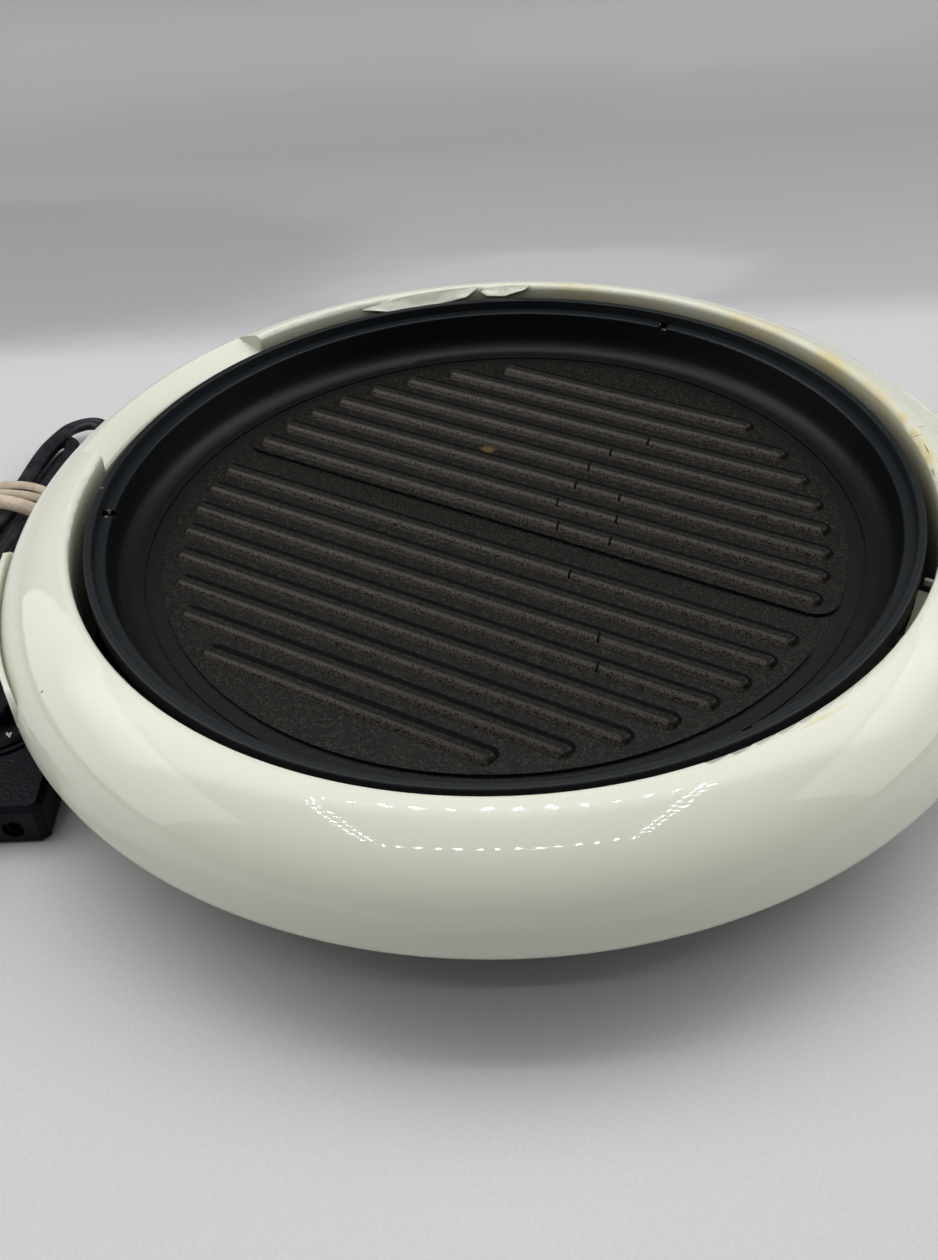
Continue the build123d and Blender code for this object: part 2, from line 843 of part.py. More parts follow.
with BuildPart() as case_screws:
    with BuildSketch(control_plane.offset(control_wall - small_head_height)):
        with Locations(*case_screw_places):
            Circle(small_head_radius)
    extrude(amount=small_head_height)
    with BuildSketch(control_plane.offset(control_wall)):
        with Locations(*case_screw_places):
            Circle(small_screw_radius)
    extrude(amount=control_height - 2 * control_wall - control_bevel)
keep(case_screws, "case_screws")

with BuildPart() as pin_sockets:
    with BuildSketch(control_front.offset(-control_wall)):
        with Locations(*contact_places):
            Circle(contact_radius)
            Circle(contact_bore, mode=Mode.SUBTRACT)
    extrude(amount=-contact_length)
keep(pin_sockets, "pin_sockets")

with BuildPart() as probe_tube:
    with BuildSketch(control_front.offset(-probe_root)):
        with Locations(probe_place):
            Circle(probe_radius)
    extrude(amount=probe_length + probe_root)
    probe_tip = control_front.offset(probe_length).from_local_coords((*probe_place, 0))
    chamfer(probe_tube.faces().sort_by_distance(probe_tip)[0].edges(), probe_tip_chamfer)
keep(probe_tube, "probe_tube")

with BuildPart() as thermostat_switch:
    with BuildSketch(control_plane.offset(control_wall)):
        with Locations((0, (switch_start + switch_end) / 2)):
            RectangleRounded(switch_width, switch_end - switch_start, switch_corner)
    extrude(amount=switch_top - control_wall)
keep(thermostat_switch, "thermostat_switch")

with BuildPart() as strain_relief:
    with BuildSketch(control_front.offset(relief_flange_width + control_wall - control_length)):
        with Locations(probe_place):
            Circle(relief_flange_radius)
    extrude(amount=-relief_flange_width)
    with BuildSketch(control_front.offset(control_wall - control_length)):
        with Locations(probe_place):
            Circle(relief_radius)
    extrude(amount=-control_wall)
    with BuildSketch(control_front.offset(-control_length)):
        with Locations(probe_place):
            Circle(relief_radius)
    with BuildSketch(control_front.offset(-control_length - relief_length)):
        with Locations(probe_place):
            Circle(relief_tip_radius)
    loft()
keep(strain_relief, "strain_relief")

# Control dial with a fluted grip, on its own shaft
dial_bottom = control_height + dial_gap
with BuildPart() as dial:
    with BuildSketch(control_plane.offset(dial_bottom)):
        with Locations(dial_centre):
            Circle(dial_radius)
    extrude(amount=dial_skirt)
    chamfer(dial.edges().group_by(Axis.Z)[-1], dial_edge)
    with BuildSketch(control_plane.offset(dial_bottom + dial_skirt)):
        with Locations(dial_centre):
            Circle(dial_grip_radius)
            with PolarLocations(dial_grip_radius + flute_radius / 2, dial_flutes):
                Circle(flute_radius, mode=Mode.SUBTRACT)
    extrude(amount=dial_top - dial_bottom - dial_skirt, taper=dial_draft)
    chamfer(dial.edges().group_by(Axis.Z)[-1], dial_edge / 2)
    with BuildSketch(control_plane.offset(dial_top)):
        with Locations(dial_centre):
            Rectangle(pointer_width, dial_grip_radius, align=(Align.CENTER, Align.MIN))
    extrude(amount=-pointer_depth, mode=Mode.SUBTRACT)
    with BuildSketch(control_plane.offset(dial_bottom)):
        with Locations(dial_centre):
            Circle(shaft_radius)
    extrude(amount=dial_skirt, mode=Mode.SUBTRACT)
keep(dial, "dial")

with BuildPart() as dial_shaft:
    with BuildSketch(control_plane.offset(shaft_bottom)):
        with Locations(dial_centre):
            Circle(shaft_radius)
    extrude(amount=dial_bottom + dial_skirt - shaft_bottom)
keep(dial_shaft, "dial_shaft")

# Cord between the control, the hank and the plug
hank_along = hank_end[0] - hank_start[0]
hank_across = hank_end[1] - hank_start[1]
hank_length = math.hypot(hank_along, hank_across)


def flat_cord(route):
    """Sweep the flat twin section of the cord along a route, lying flat all the way."""
    points = [side_point(*place) for place in route]
    radii = bend_radii(points)
    print("cord bends", [round(radius, 1) for radius in radii])
    with BuildLine() as path:
        FilletPolyline(*points, radius=radii)
    heading = Vector(*points[1]) - Vector(*points[0])
    start = Plane(origin=points[0], x_dir=(-heading.Y, heading.X, 0), z_dir=heading)
    with BuildPart() as cord:
        with BuildSketch(start):
            with GridLocations(core_spacing, 0, 2, 1):
                Circle(core_radius)
            Rectangle(core_spacing, web_height)
        sweep(path=path.line, transition=Transition.RIGHT)
    return cord


def along_hank(distance):
    """A place on the middle line of the hank, measured from its near end."""
    share = distance / hank_length
    return (hank_start[0] + share * hank_along, hank_start[1] + share * hank_across, cord_level)


control_cord = flat_cord(
    [*control_cord_route, along_hank(hank_length + control_cord_tail), along_hank(hank_length)]
)
keep(control_cord, "control_cord")
plug_cord = flat_cord([along_hank(0), along_hank(-plug_cord_tail), *plug_cord_route])
keep(plug_cord, "plug_cord")

# Band in a plane across the hank, then the hank with a waist where the band grips it
hank_turn = math.degrees(math.atan2(hank_across, hank_along))
hank_plane = side_plane(hank_start, hank_turn)
band_plane = Plane(
    origin=hank_plane.from_local_coords((band_distance - band_width / 2, 0, 0)),
    x_dir=-hank_plane.y_dir,
    z_dir=-hank_plane.x_dir,
)

with BuildPart() as rubber_band:
    with BuildSketch(band_plane):
        with Locations(
            ((band_inner_start + band_inner_end) / 2, band_sheet + band_inner_height / 2)
        ):
            RectangleRounded(
                band_inner_end - band_inner_start + 2 * band_sheet,
                band_inner_height + 2 * band_sheet,
                band_inner_corner + band_sheet,
            )
            RectangleRounded(
                band_inner_end - band_inner_start,
                band_inner_height,
                band_inner_corner,
                mode=Mode.SUBTRACT,
            )
    extrude(amount=-band_width)
keep(rubber_band, "rubber_band")

with BuildPart() as cord_hank:
    with BuildSketch(hank_plane):
        with Locations((hank_length / 2, 0)):
            RectangleRounded(hank_length, hank_width, hank_corner)
    extrude(amount=hank_height)
    fillet(cord_hank.edges().group_by(Axis.Z)[-1], hank_round)
    fillet(cord_hank.edges().group_by(Axis.Z)[0], hank_round)
    add(rubber_band.part, mode=Mode.SUBTRACT)
keep(cord_hank, "cord_hank")

# Plug, lying flat, with its blades towards the viewer
plug_rear = Plane(
    origin=side_point(*plug_place, plug_height / 2),
    x_dir=control_plane.x_dir,
    z_dir=-control_plane.y_dir,
)
with BuildPart() as plug_body:
    with BuildSketch(plug_rear):
        RectangleRounded(plug_rear_width, plug_rear_height, plug_round)
    with BuildSketch(plug_rear.offset(plug_taper_length)):
        RectangleRounded(plug_width, plug_height, plug_round)
    loft()
    with BuildSketch(plug_rear.offset(plug_taper_length)):
        RectangleRounded(plug_width, plug_height, plug_round)
    extrude(amount=plug_length - plug_taper_length)
    with BuildSketch(plug_rear.offset(plug_length)):
        with GridLocations(blade_spacing, 0, 2, 1):
            Rectangle(blade_sheet, blade_width)
    extrude(amount=-blade_root, mode=Mode.SUBTRACT)
keep(plug_body, "plug_body")

with BuildPart() as plug_blades:
    with BuildSketch(plug_rear.offset(plug_length - blade_root)):
        with GridLocations(blade_spacing, 0, 2, 1):
            Rectangle(blade_sheet, blade_width)
    extrude(amount=blade_root + blade_length)
keep(plug_blades, "plug_blades")
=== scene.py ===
import math

import bmesh
import bpy
from mathutils import Matrix, Vector, noise


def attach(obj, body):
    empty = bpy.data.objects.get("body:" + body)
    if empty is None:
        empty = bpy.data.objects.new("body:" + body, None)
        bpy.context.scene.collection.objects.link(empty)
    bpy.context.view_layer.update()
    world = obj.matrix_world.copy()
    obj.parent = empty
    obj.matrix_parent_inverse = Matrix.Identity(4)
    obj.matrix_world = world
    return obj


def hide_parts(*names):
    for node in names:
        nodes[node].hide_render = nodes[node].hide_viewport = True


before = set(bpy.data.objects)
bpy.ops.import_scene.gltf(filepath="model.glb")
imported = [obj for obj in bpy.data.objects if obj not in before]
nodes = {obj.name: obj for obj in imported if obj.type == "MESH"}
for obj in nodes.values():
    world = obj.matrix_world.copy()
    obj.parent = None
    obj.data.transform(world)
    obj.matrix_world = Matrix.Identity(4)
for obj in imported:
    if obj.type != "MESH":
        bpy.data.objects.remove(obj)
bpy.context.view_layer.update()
mm = 0.001  # lengths are in metres, unless a name ends in Mm or a comment says mm
print("frame loaded")


# sRGB hex to the linear colour that the shaders want
def hexColour(code):
    parts = [int(code[i:i + 2], 16) / 255 for i in (1, 3, 5)]
    return [p / 12.92 if p <= 0.04045 else ((p + 0.055) / 1.055) ** 2.4 for p in parts] + [1.0]


# adds one node; "stops" fills a ramp with hex colours, inputs take a value or another node's output
def addNode(tree, kind, settings=None, inputs=None):
    node = tree.nodes.new("ShaderNode" + kind)
    settings = dict(settings or {})
    stops = settings.pop("stops", ())
    for name, value in settings.items():
        setattr(node, name, value)
    if stops:
        ramp = node.color_ramp.elements
        while len(ramp) < len(stops):
            ramp.new(0.5)
        for element, (place, code) in zip(ramp, stops):
            element.position = place
            element.color = hexColour(code)
    for name, value in (inputs or {}).items():
        if isinstance(value, bpy.types.NodeSocket):
            tree.links.new(value, node.inputs[name])
        else:
            node.inputs[name].default_value = value
    return node


# an empty material: its tree, its shader and the piece's own coordinates for the patterns
def newFinish(name, shaderInputs):
    finish = bpy.data.materials.new(name)
    finish.use_nodes = True
    tree = finish.node_tree
    tree.nodes.clear()
    shader = addNode(tree, "BsdfPrincipled", {}, shaderInputs)
    addNode(tree, "OutputMaterial", {}, {"Surface": shader.outputs[0]})
    place = addNode(tree, "TexCoord").outputs["Object"]
    return finish, tree, shader, place


# a finish of two tones that drift into each other in patches, over a fine grain where it has one
def twoToneFinish(name, tones, patchMm, grainMm, grainDepth, shaderInputs,
                  toneAt=(0.35, 0.7), patchDetail=5, grainDetail=3, grainStrength=0.5):
    finish, tree, shader, place = newFinish(name, shaderInputs)
    patch = addNode(tree, "TexNoise", {},
                    {"Vector": place, "Scale": 1000 / patchMm, "Detail": patchDetail})
    tone = addNode(tree, "ValToRGB", {"stops": tuple(zip(toneAt, tones))},
                   {"Fac": patch.outputs["Fac"]})
    tree.links.new(tone.outputs["Color"], shader.inputs["Base Color"])
    if grainMm:
        grain = addNode(tree, "TexNoise", {},
                        {"Vector": place, "Scale": 1000 / grainMm, "Detail": grainDetail})
        dent = addNode(tree, "Bump", {}, {"Strength": grainStrength, "Distance": grainDepth,
                                          "Height": grain.outputs["Fac"]})
        tree.links.new(dent.outputs["Normal"], shader.inputs["Normal"])
    return finish


# 1 inside a worn or stained spot, 0 outside, with a ragged edge; turn in degrees
def spotMask(tree, place, centre, halfSizes, turn=0.0, strength=1.0, ragged=0.35):
    wavesAcross, solidShare = 1.7, 0.6
    moved = addNode(tree, "VectorMath", {"operation": "SUBTRACT"}, {0: place, 1: centre})
    turned = addNode(tree, "Mapping", {"vector_type": "TEXTURE"},
                     {"Vector": moved.outputs[0], "Rotation": (0, 0, math.radians(turn)),
                      "Scale": halfSizes})
    edge = addNode(tree, "TexNoise", {},
                   {"Vector": turned.outputs[0], "Scale": wavesAcross, "Detail": 5})
    away = addNode(tree, "VectorMath", {"operation": "LENGTH"}, {0: turned.outputs[0]})
    rough = addNode(tree, "Math", {"operation": "MULTIPLY_ADD"},
                    {0: edge.outputs["Fac"], 1: ragged * 2, 2: away.outputs["Value"]})
    mask = addNode(tree, "MapRange", {"interpolation_type": "SMOOTHSTEP"},
                   {"Value": rough.outputs[0], "From Min": 1.0 + ragged,
                    "From Max": solidShare + ragged}).outputs[0]
    return overlap(tree, mask, strength) if strength < 1 else mask


# where all of the masks hold at once; a plain number weakens them
def overlap(tree, mask, *others):
    for other in others:
        mask = addNode(tree, "Math", {"operation": "MULTIPLY"}, {0: mask, 1: other}).outputs[0]
    return mask


# lays colours over a base, each where its mask says; a colour is a hex code or a node's output
def paintLayers(tree, base, layers):
    tone = hexColour(base) if isinstance(base, str) else base
    for mask, colour in layers:
        colour = hexColour(colour) if isinstance(colour, str) else colour
        tone = addNode(tree, "Mix", {"data_type": "RGBA"}, {0: mask, 6: tone, 7: colour}).outputs[2]
    return tone


# gives a CAD node its finish
def dress(name, finish):
    mesh = nodes[name].data
    mesh.materials.clear()
    mesh.materials.append(finish)


# the photographed side's own directions: u along it, v away from it
sideTurn = math.radians(30.8)


def sidePoint(u, v, z):
    return Vector((u * math.cos(sideTurn) - v * math.sin(sideTurn),
                   u * math.sin(sideTurn) + v * math.cos(sideTurn), z))


def linkObject(name, data):
    holder = bpy.data.objects.new(name, data)
    bpy.context.scene.collection.objects.link(holder)
    return holder


# Camera where the photograph was taken from; lens in mm, turn in degrees
view = {"lens": 40.35, "nearest": 0.02,
        "place": (0.2330, -0.3909, 0.3906), "turn": (49.996, 2.9167, 30.2894)}
cameraData = bpy.data.cameras.new("viewCamera")
cameraData.lens = view["lens"]
cameraData.clip_start = view["nearest"]
camera = linkObject("viewCamera", cameraData)
camera.location = view["place"]
camera.rotation_euler = [math.radians(a) for a in view["turn"]]
bpy.context.scene.camera = camera
print("camera ready")


# gives a bmesh or a swept mesh a place in the scene, its finish and its body; faces
# that meet at more than angle degrees keep a hard edge. A swept mesh loses its empty slots, and a
# bmesh keeps the material numbers of its faces.
def placePiece(name, shape, finish, body, smooth=True, angle=40):
    mesh = shape
    if isinstance(shape, bmesh.types.BMesh):
        mesh = bpy.data.meshes.new(name)
        shape.to_mesh(mesh)
        shape.free()
    else:
        mesh.materials.clear()
    mesh.name = name
    mesh.materials.append(finish)
    for face in mesh.polygons:
        face.use_smooth = smooth
    if smooth:
        mesh.set_sharp_from_angle(angle=math.radians(angle))
    piece = linkObject(name, mesh)
    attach(piece, body)
    return piece


# a NURBS line through given points
def routeCurve(name, points, closed=False):
    curve = bpy.data.curves.new(name, "CURVE")
    curve.dimensions = "3D"
    curve.resolution_u = 10
    spline = curve.splines.new("NURBS")
    spline.points.add(len(points) - 1)
    for knot, p in zip(spline.points, points):
        knot.co = (*p, 1.0)
    spline.order_u = 3
    spline.use_cyclic_u = closed
    spline.use_endpoint_u = not closed
    return linkObject(name, curve)


# a closed outline, drawn flat, for sweeping along a route
def outlineCurve(name, points):
    curve = bpy.data.curves.new(name, "CURVE")
    curve.dimensions = "2D"
    spline = curve.splines.new("POLY")
    spline.points.add(len(points) - 1)
    for knot, p in zip(spline.points, points):
        knot.co = (p[0], p[1], 0.0, 1.0)
    spline.use_cyclic_u = True
    return linkObject(name, curve)


# sweeps an outline along a route; gives the mesh and the points of the bare route
def sweepAlong(route, outline, twist="Z_UP"):
    route.data.twist_mode = twist
    bpy.context.view_layer.update()
    bare = bpy.data.meshes.new_from_object(route)
    path = [tuple(v.co) for v in bare.vertices]
    route.data.bevel_mode = "OBJECT"
    route.data.bevel_object = outline
    route.data.use_fill_caps = True
    bpy.context.view_layer.update()
    depsgraph = bpy.context.evaluated_depsgraph_get()
    swept = bpy.data.meshes.new_from_object(route.evaluated_get(depsgraph))
    for used in (route, outline):
        curve = used.data
        bpy.data.objects.remove(used)
        bpy.data.curves.remove(curve)
    return swept, path


# Cord: flat twin of black PVC, extruded, a satin skin with a faint grain and grey dust.
# The hank's ends are in the photographed side's directions.
cord = {"tones": ("#0F1115", "#2C3035"), "dustMm": 6, "grainMm": 0.5, "grainDepth": 0.0001,
        "coreRadius": 0.00245, "coreSpacing": 0.0031, "webHalf": 0.0012, "steps": 12,
        "hankNear": (-0.250, 0.036), "hankFar": (-0.2215, 0.169)}
cordPvc = twoToneFinish("extrudedBlackPvc", cord["tones"], cord["dustMm"], cord["grainMm"],
                        cord["grainDepth"], {"Roughness": 0.42, "Specular IOR Level": 0.3},
                        toneAt=(0.4, 0.75), patchDetail=4, grainDetail=2, grainStrength=0.25)
hankStart = sidePoint(*cord["hankNear"], 0)
hankTurn = math.atan2(cord["hankFar"][1] - cord["hankNear"][1],
                      cord["hankFar"][0] - cord["hankNear"][0]) + sideTurn


# a place in the hank: s along it from its near end, t across it, z up
def hankPoint(s, t, z):
    return hankStart + Vector((s * math.cos(hankTurn) - t * math.sin(hankTurn),
                               s * math.sin(hankTurn) + t * math.cos(hankTurn), z))


# one route: from the strain relief, round the bend, five passes of the hank, to the plug
cordRoute = [sidePoint(*p) for p in (
    (-0.2011, 0.021, 0.0076), (-0.2011, 0.040, 0.0076), (-0.2035, 0.070, 0.005),
    (-0.2066, 0.108, 0.005), (-0.2048, 0.144, 0.0065), (-0.2037, 0.164, 0.0085),
    (-0.204, 0.1795, 0.0085), (-0.212, 0.1838, 0.0085))]
cordRoute += [hankPoint(*p) for p in (
    (0.145, 0.002, 0.0090), (0.136, 0.003, 0.0100), (0.118, 0.003, 0.0125),
    (0.095, 0.001, 0.0130), (0.070, -0.001, 0.0120), (0.045, 0.000, 0.0125),
    (0.022, -0.002, 0.0130), (0.008, -0.003, 0.0120), (0.002, -0.002, 0.0095),
    (0.000, 0.004, 0.0060), (0.003, 0.0095, 0.0035), (0.030, 0.0100, 0.0027),
    (0.062, 0.0095, 0.0030), (0.095, 0.0100, 0.0027), (0.126, 0.0095, 0.0035),
    (0.134, 0.0070, 0.0055), (0.136, 0.0010, 0.0070), (0.131, -0.0060, 0.0075),
    (0.110, -0.0090, 0.0080), (0.075, -0.0085, 0.0080), (0.040, -0.0090, 0.0080),
    (0.008, -0.0090, 0.0080), (0.002, -0.0060, 0.0050), (0.005, -0.0020, 0.0035),
    (0.010, 0.0000, 0.0027), (0.045, 0.0005, 0.0027), (0.085, 0.0000, 0.0027),
    (0.126, 0.0000, 0.0027), (0.133, -0.0045, 0.0035), (0.131, -0.0095, 0.0030),
    (0.110, -0.0098, 0.0027), (0.075, -0.0095, 0.0026), (0.040, -0.0098, 0.0027),
    (0.008, -0.0070, 0.0035), (0.000, 0.0000, 0.0085), (-0.014, 0.0000, 0.0085))]
cordRoute += [sidePoint(*p) for p in (
    (-0.2585, -0.004, 0.004), (-0.2625, -0.028, 0.0055), (-0.263, -0.046, 0.009),
    (-0.263, -0.062, 0.009))]

# its section: two round cores that meet in a web, as one lobe and the same turned half round
half = cord["coreSpacing"] / 2
notch = math.asin(cord["webHalf"] / cord["coreRadius"])
lobe = [math.pi - notch - i * 2 * (math.pi - notch) / cord["steps"]
        for i in range(cord["steps"] + 1)]
twinOutline = [(half + cord["coreRadius"] * math.cos(a), cord["coreRadius"] * math.sin(a))
               for a in lobe]
twinOutline += [(-x, -y) for x, y in twinOutline]
cordMesh, cordPath = sweepAlong(routeCurve("cordRoute", cordRoute),
                                outlineCurve("cordOutline", twinOutline))
mainsCord = placePiece("mainsCord", cordMesh, cordPvc, "control", angle=70)
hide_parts("control_cord", "cord_hank", "plug_cord")
cordLength = sum((Vector(b) - Vector(a)).length for a, b in zip(cordPath, cordPath[1:]))
print("cord made,", round(cordLength, 3), "m")


# Housing ring: white ABS, moulded glossy, faint orange peel, yellowed where the pan heats it, with
# painted shade low in the wall of the mouth.
# Pairs are where a mask is 0 and where it is 1. Spots: centre, half sizes, turn in degrees and, on
# patches, strength.
ring = {"body": "#DBDCCD", "mouthShade": "#96917A", "aged": "#D6C78F", "dirt": "#6B685A",
        "crack": "#8A7A55", "mouthShadeStrength": 0.65, "smearMm": 5, "gloss": (0.03, 0.06),
        "peelMm": 14, "peelDepth": 0.00012, "fineMm": 1.6, "fineDepth": 0.00002,
        "mouth": 0.165, "hotSide": (0.28, 0.96), "blotchScale": 45.0,  # blotches of about 22 mm
        # radii
        "nearMouth": (0.1705, 0.1655), "inMouth": (0.1664, 0.1654), "onWall": (0.1642, 0.1646),
        # heights
        "lowDown": (0.0838, 0.0770), "deepDown": 0.0700,
        # share of the way round to the hot side, and the blotches' noise
        "backSide": (0.45, 0.95), "blotch": (0.35, 0.7),
        "patches": (((0.1524, -0.0720, 0.0835), (0.0075, 0.0007, 0.004), 64, 0.55),
                    ((0.1560, -0.0655, 0.0835), (0.0090, 0.0008, 0.004), 66, 0.4),
                    ((0.1235, 0.1115, 0.0830), (0.0045, 0.0022, 0.004), -50, 0.75),
                    ((0.1405, 0.0885, 0.0830), (0.0050, 0.0020, 0.004), -60, 0.7),
                    ((0.1300, 0.1030, 0.0820), (0.0030, 0.0014, 0.004), -52, 0.8),
                    ((-0.1015, 0.1310, 0.0830), (0.0060, 0.0012, 0.004), 38, 0.35)),
        "cracks": (((0.1295, 0.1010, 0.0835), (0.0032, 0.00028, 0.003), -52),
                   ((0.1322, 0.1005, 0.0840), (0.0030, 0.00022, 0.003), 8),
                   ((0.1318, 0.1078, 0.0835), (0.0034, 0.00018, 0.003), 64),
                   ((0.1385, 0.0925, 0.0835), (0.0042, 0.00025, 0.003), -57),
                   ((0.1452, 0.0790, 0.0835), (0.0036, 0.00022, 0.003), -62)),
        "pits": (((-0.0857, -0.1660, 0.0730), (0.0007, 0.0005, 0.002), 20),
                 ((0.0330, -0.1850, 0.0700), (0.0006, 0.0005, 0.002), 20),
                 ((0.1000, -0.1450, 0.0760), (0.0005, 0.0004, 0.002), 0),
                 ((0.1080, -0.1500, 0.0720), (0.0006, 0.0006, 0.002), 0))}
whiteAbs, tree, shader, place = newFinish("whiteMouldedAbs", {"IOR": 1.53, "Roughness": 0.045})
# its masks: how high, how far from the middle, and how far round to the hot side a place is
height = addNode(tree, "SeparateXYZ", {}, {0: place}).outputs["Z"]
flat = addNode(tree, "VectorMath", {"operation": "MULTIPLY"}, {0: place, 1: (1, 1, 0)})
radius = addNode(tree, "VectorMath", {"operation": "LENGTH"}, {0: flat.outputs[0]}).outputs["Value"]
facing = addNode(tree, "VectorMath", {"operation": "DOT_PRODUCT"},
                 {0: flat.outputs[0], 1: (*(d / ring["mouth"] for d in ring["hotSide"]), 0)})
blotch = addNode(tree, "TexNoise", {}, {"Vector": place, "Scale": ring["blotchScale"], "Detail": 3})
masks = {}
for name, value, easing in (("nearMouth", radius, "SMOOTHSTEP"),
                            ("backSide", facing.outputs["Value"], "SMOOTHSTEP"),
                            ("blotch", blotch.outputs["Fac"], "LINEAR"),
                            ("lowDown", height, "SMOOTHSTEP"),
                            ("inMouth", radius, "LINEAR"), ("onWall", radius, "LINEAR")):
    masks[name] = addNode(tree, "MapRange", {"interpolation_type": easing},
                          {"Value": value, "From Min": ring[name][0],
                           "From Max": ring[name][1]}).outputs[0]
heat = overlap(tree, masks["nearMouth"], masks["backSide"], masks["blotch"])
# painted shade: the wall of the mouth is darkened olive-grey, most of all low down
deepDown = addNode(tree, "Math", {"operation": "LESS_THAN"}, {0: height, 1: ring["deepDown"]})
onWall = addNode(tree, "Math", {"operation": "MAXIMUM"},
                 {0: masks["onWall"], 1: deepDown.outputs[0]})
mouthShade = overlap(tree, masks["lowDown"], masks["inMouth"], onWall.outputs[0], ring["mouthShadeStrength"])
layers = [(heat, ring["aged"]), (mouthShade, ring["mouthShade"])]
for marks, colour in (("patches", "aged"), ("pits", "dirt"), ("cracks", "crack")):
    layers += [(spotMask(tree, place, *spot), ring[colour]) for spot in ring[marks]]
tree.links.new(paintLayers(tree, ring["body"], layers), shader.inputs["Base Color"])
# wiped and smeared: the gloss varies a little
smear = addNode(tree, "TexNoise", {},
                {"Vector": place, "Scale": 1000 / ring["smearMm"], "Detail": 6})
gloss = addNode(tree, "MapRange", {},
                {"Value": smear.outputs["Fac"], "From Min": 0.3, "From Max": 0.8,
                 "To Min": ring["gloss"][0], "To Max": ring["gloss"][1]})
tree.links.new(gloss.outputs[0], shader.inputs["Roughness"])
peel = addNode(tree, "TexNoise", {}, {"Vector": place, "Scale": 1000 / ring["peelMm"], "Detail": 2})
wave = addNode(tree, "Bump", {}, {"Strength": 0.3, "Distance": ring["peelDepth"],
                                  "Height": peel.outputs["Fac"]})
fine = addNode(tree, "TexNoise", {}, {"Vector": place, "Scale": 1000 / ring["fineMm"], "Detail": 3})
dent = addNode(tree, "Bump", {}, {"Strength": 0.12, "Distance": ring["fineDepth"],
                                  "Height": fine.outputs["Fac"], "Normal": wave.outputs["Normal"]})
tree.links.new(dent.outputs["Normal"], shader.inputs["Normal"])
dress("housing_ring", whiteAbs)

# Ridges, eight on each side of the middle: the first one's distance from it, the pitch, the radius
# that the ends keep to, half a ridge's width and the height of the fields. Levels: half width and
# height above the field (mm), from the foot up.
ridge = {"count": 8, "first": 0.0128, "pitch": 0.0142, "reach": 0.1275, "width": 0.0037,
         "field": 0.0598, "segments": 28,
         "levels": ((4.3, -0.05), (4.15, 0.05), (3.95, 0.4), (3.74, 1.1), (3.48, 1.75),
                    (3.1, 2.25), (2.6, 2.62), (2.0, 2.85), (1.2, 2.98), (0.4, 3.02)),
         # where across a crest it is scoured, with painted shade beyond, and how level it is there
         "scoured": (-0.0020, 0.0007), "scouredLevel": 0.9,
         # short cuts through the coat: their places, and the level that they start from
         "nickHalf": 0.0005, "nickLift": 0.00006, "nickSkew": 0.0002, "nickFrom": 3,
         "nicks": ((0.0122, 0.0554), (0.0133, 0.0412), (0.0123, 0.0270), (0.0154, 0.0696),
                   (0.0427, 0.0128), (0.0262, 0.0838), (0.0331, 0.0412), (0.0386, 0.0270),
                   (0.0198, 0.0128), (0.0382, -0.0128), (0.0709, -0.0554), (0.0644, -0.0412)),
         "filmHalf": 0.0046, "filmLift": 0.00004, "filmShift": (-0.0003, 0.0009)}

# Grill pan: cast aluminium under a sprayed non-stick coat: a dull black with a sand-like grain,
# worn on the ridges, with painted light and shade across them and painted shade on the inner wall
# and along the far field's edge. Pairs and spots are as on the ring. The grain is drawn at 1 mm,
# coarser than the real one, so that it shows.
pan = {"coat": "#0D0C0A", "lip": "#181C1F", "wall": "#05080B", "edgeShade": "#050505",
       "stain": "#4E4224", "bare": "#9A9788", "speckle": "#302D26", "pit": "#060605",
       "grainMm": 1.0, "grainDepth": 0.00016, "wearMm": 0.8,
       # radii
       "onRim": (0.146, 0.153), "onFloor": (0.138, 0.132), "fieldRadius": 0.132,
       # heights
       "onWall": (0.0605, 0.068), "belowLip": (0.0762, 0.0745), "aboveField": (0.0598, 0.0602),
       # the painted shade line before the far field: away from the middle line, and half its length
       "edgeLine": (0.0044, 0.0052), "edgeLineEnd": 0.00575, "edgeLineHalf": 0.1265,
       # painted light and shade over the 10 mm across a ridge, from its near foot to its far one
       "ridgeHalf": 0.005,
       "across": ((0.06, "#5C574C"), (0.19, "#524D43"), (0.27, "#211F1B"), (0.42, "#131210"),
                  (0.60, "#0E0D0B"), (0.69, "#060505"), (0.73, "#010101")),
       # size (mm) and where the noise is 0 and 1
       "flecks": (("speckle", 0.9, 0.5, 0.66), ("pit", 0.7, 0.52, 0.64)),
       "stains": (((-0.0342, 0.0495, 0.0600), (0.0038, 0.0034, 0.003), 0),
                  ((-0.0330, 0.0405, 0.0600), (0.0026, 0.0012, 0.002), 0)),
       "glints": (((-0.1339, -0.0773, 0.0758), (0.0016, 0.0030, 0.003), 30),
                  ((0.1339, -0.0773, 0.0758), (0.0012, 0.0022, 0.003), 0),
                  ((0.0, 0.1548, 0.0758), (0.0026, 0.0014, 0.003), 0),
                  ((-0.1430, -0.0690, 0.0800), (0.0007, 0.0004, 0.001), 0))}
nonStick, tree, shader, place = newFinish("nonStickCastAluminium",
                                          {"Roughness": 0.42, "Specular IOR Level": 0.22})
axes = addNode(tree, "SeparateXYZ", {}, {0: place}).outputs
flat = addNode(tree, "VectorMath", {"operation": "MULTIPLY"}, {0: place, 1: (1, 1, 0)})
radius = addNode(tree, "VectorMath", {"operation": "LENGTH"}, {0: flat.outputs[0]}).outputs["Value"]
masks = {}
for name, value, easing in (("onRim", radius, "SMOOTHSTEP"), ("onWall", axes["Z"], "SMOOTHSTEP"),
                            ("belowLip", axes["Z"], "SMOOTHSTEP"), ("onFloor", radius, "LINEAR"),
                            ("aboveField", axes["Z"], "LINEAR"),
                            ("edgeLine", axes["Y"], "SMOOTHSTEP")):
    masks[name] = addNode(tree, "MapRange", {"interpolation_type": easing},
                          {"Value": value, "From Min": pan[name][0],
                           "From Max": pan[name][1]}).outputs[0]
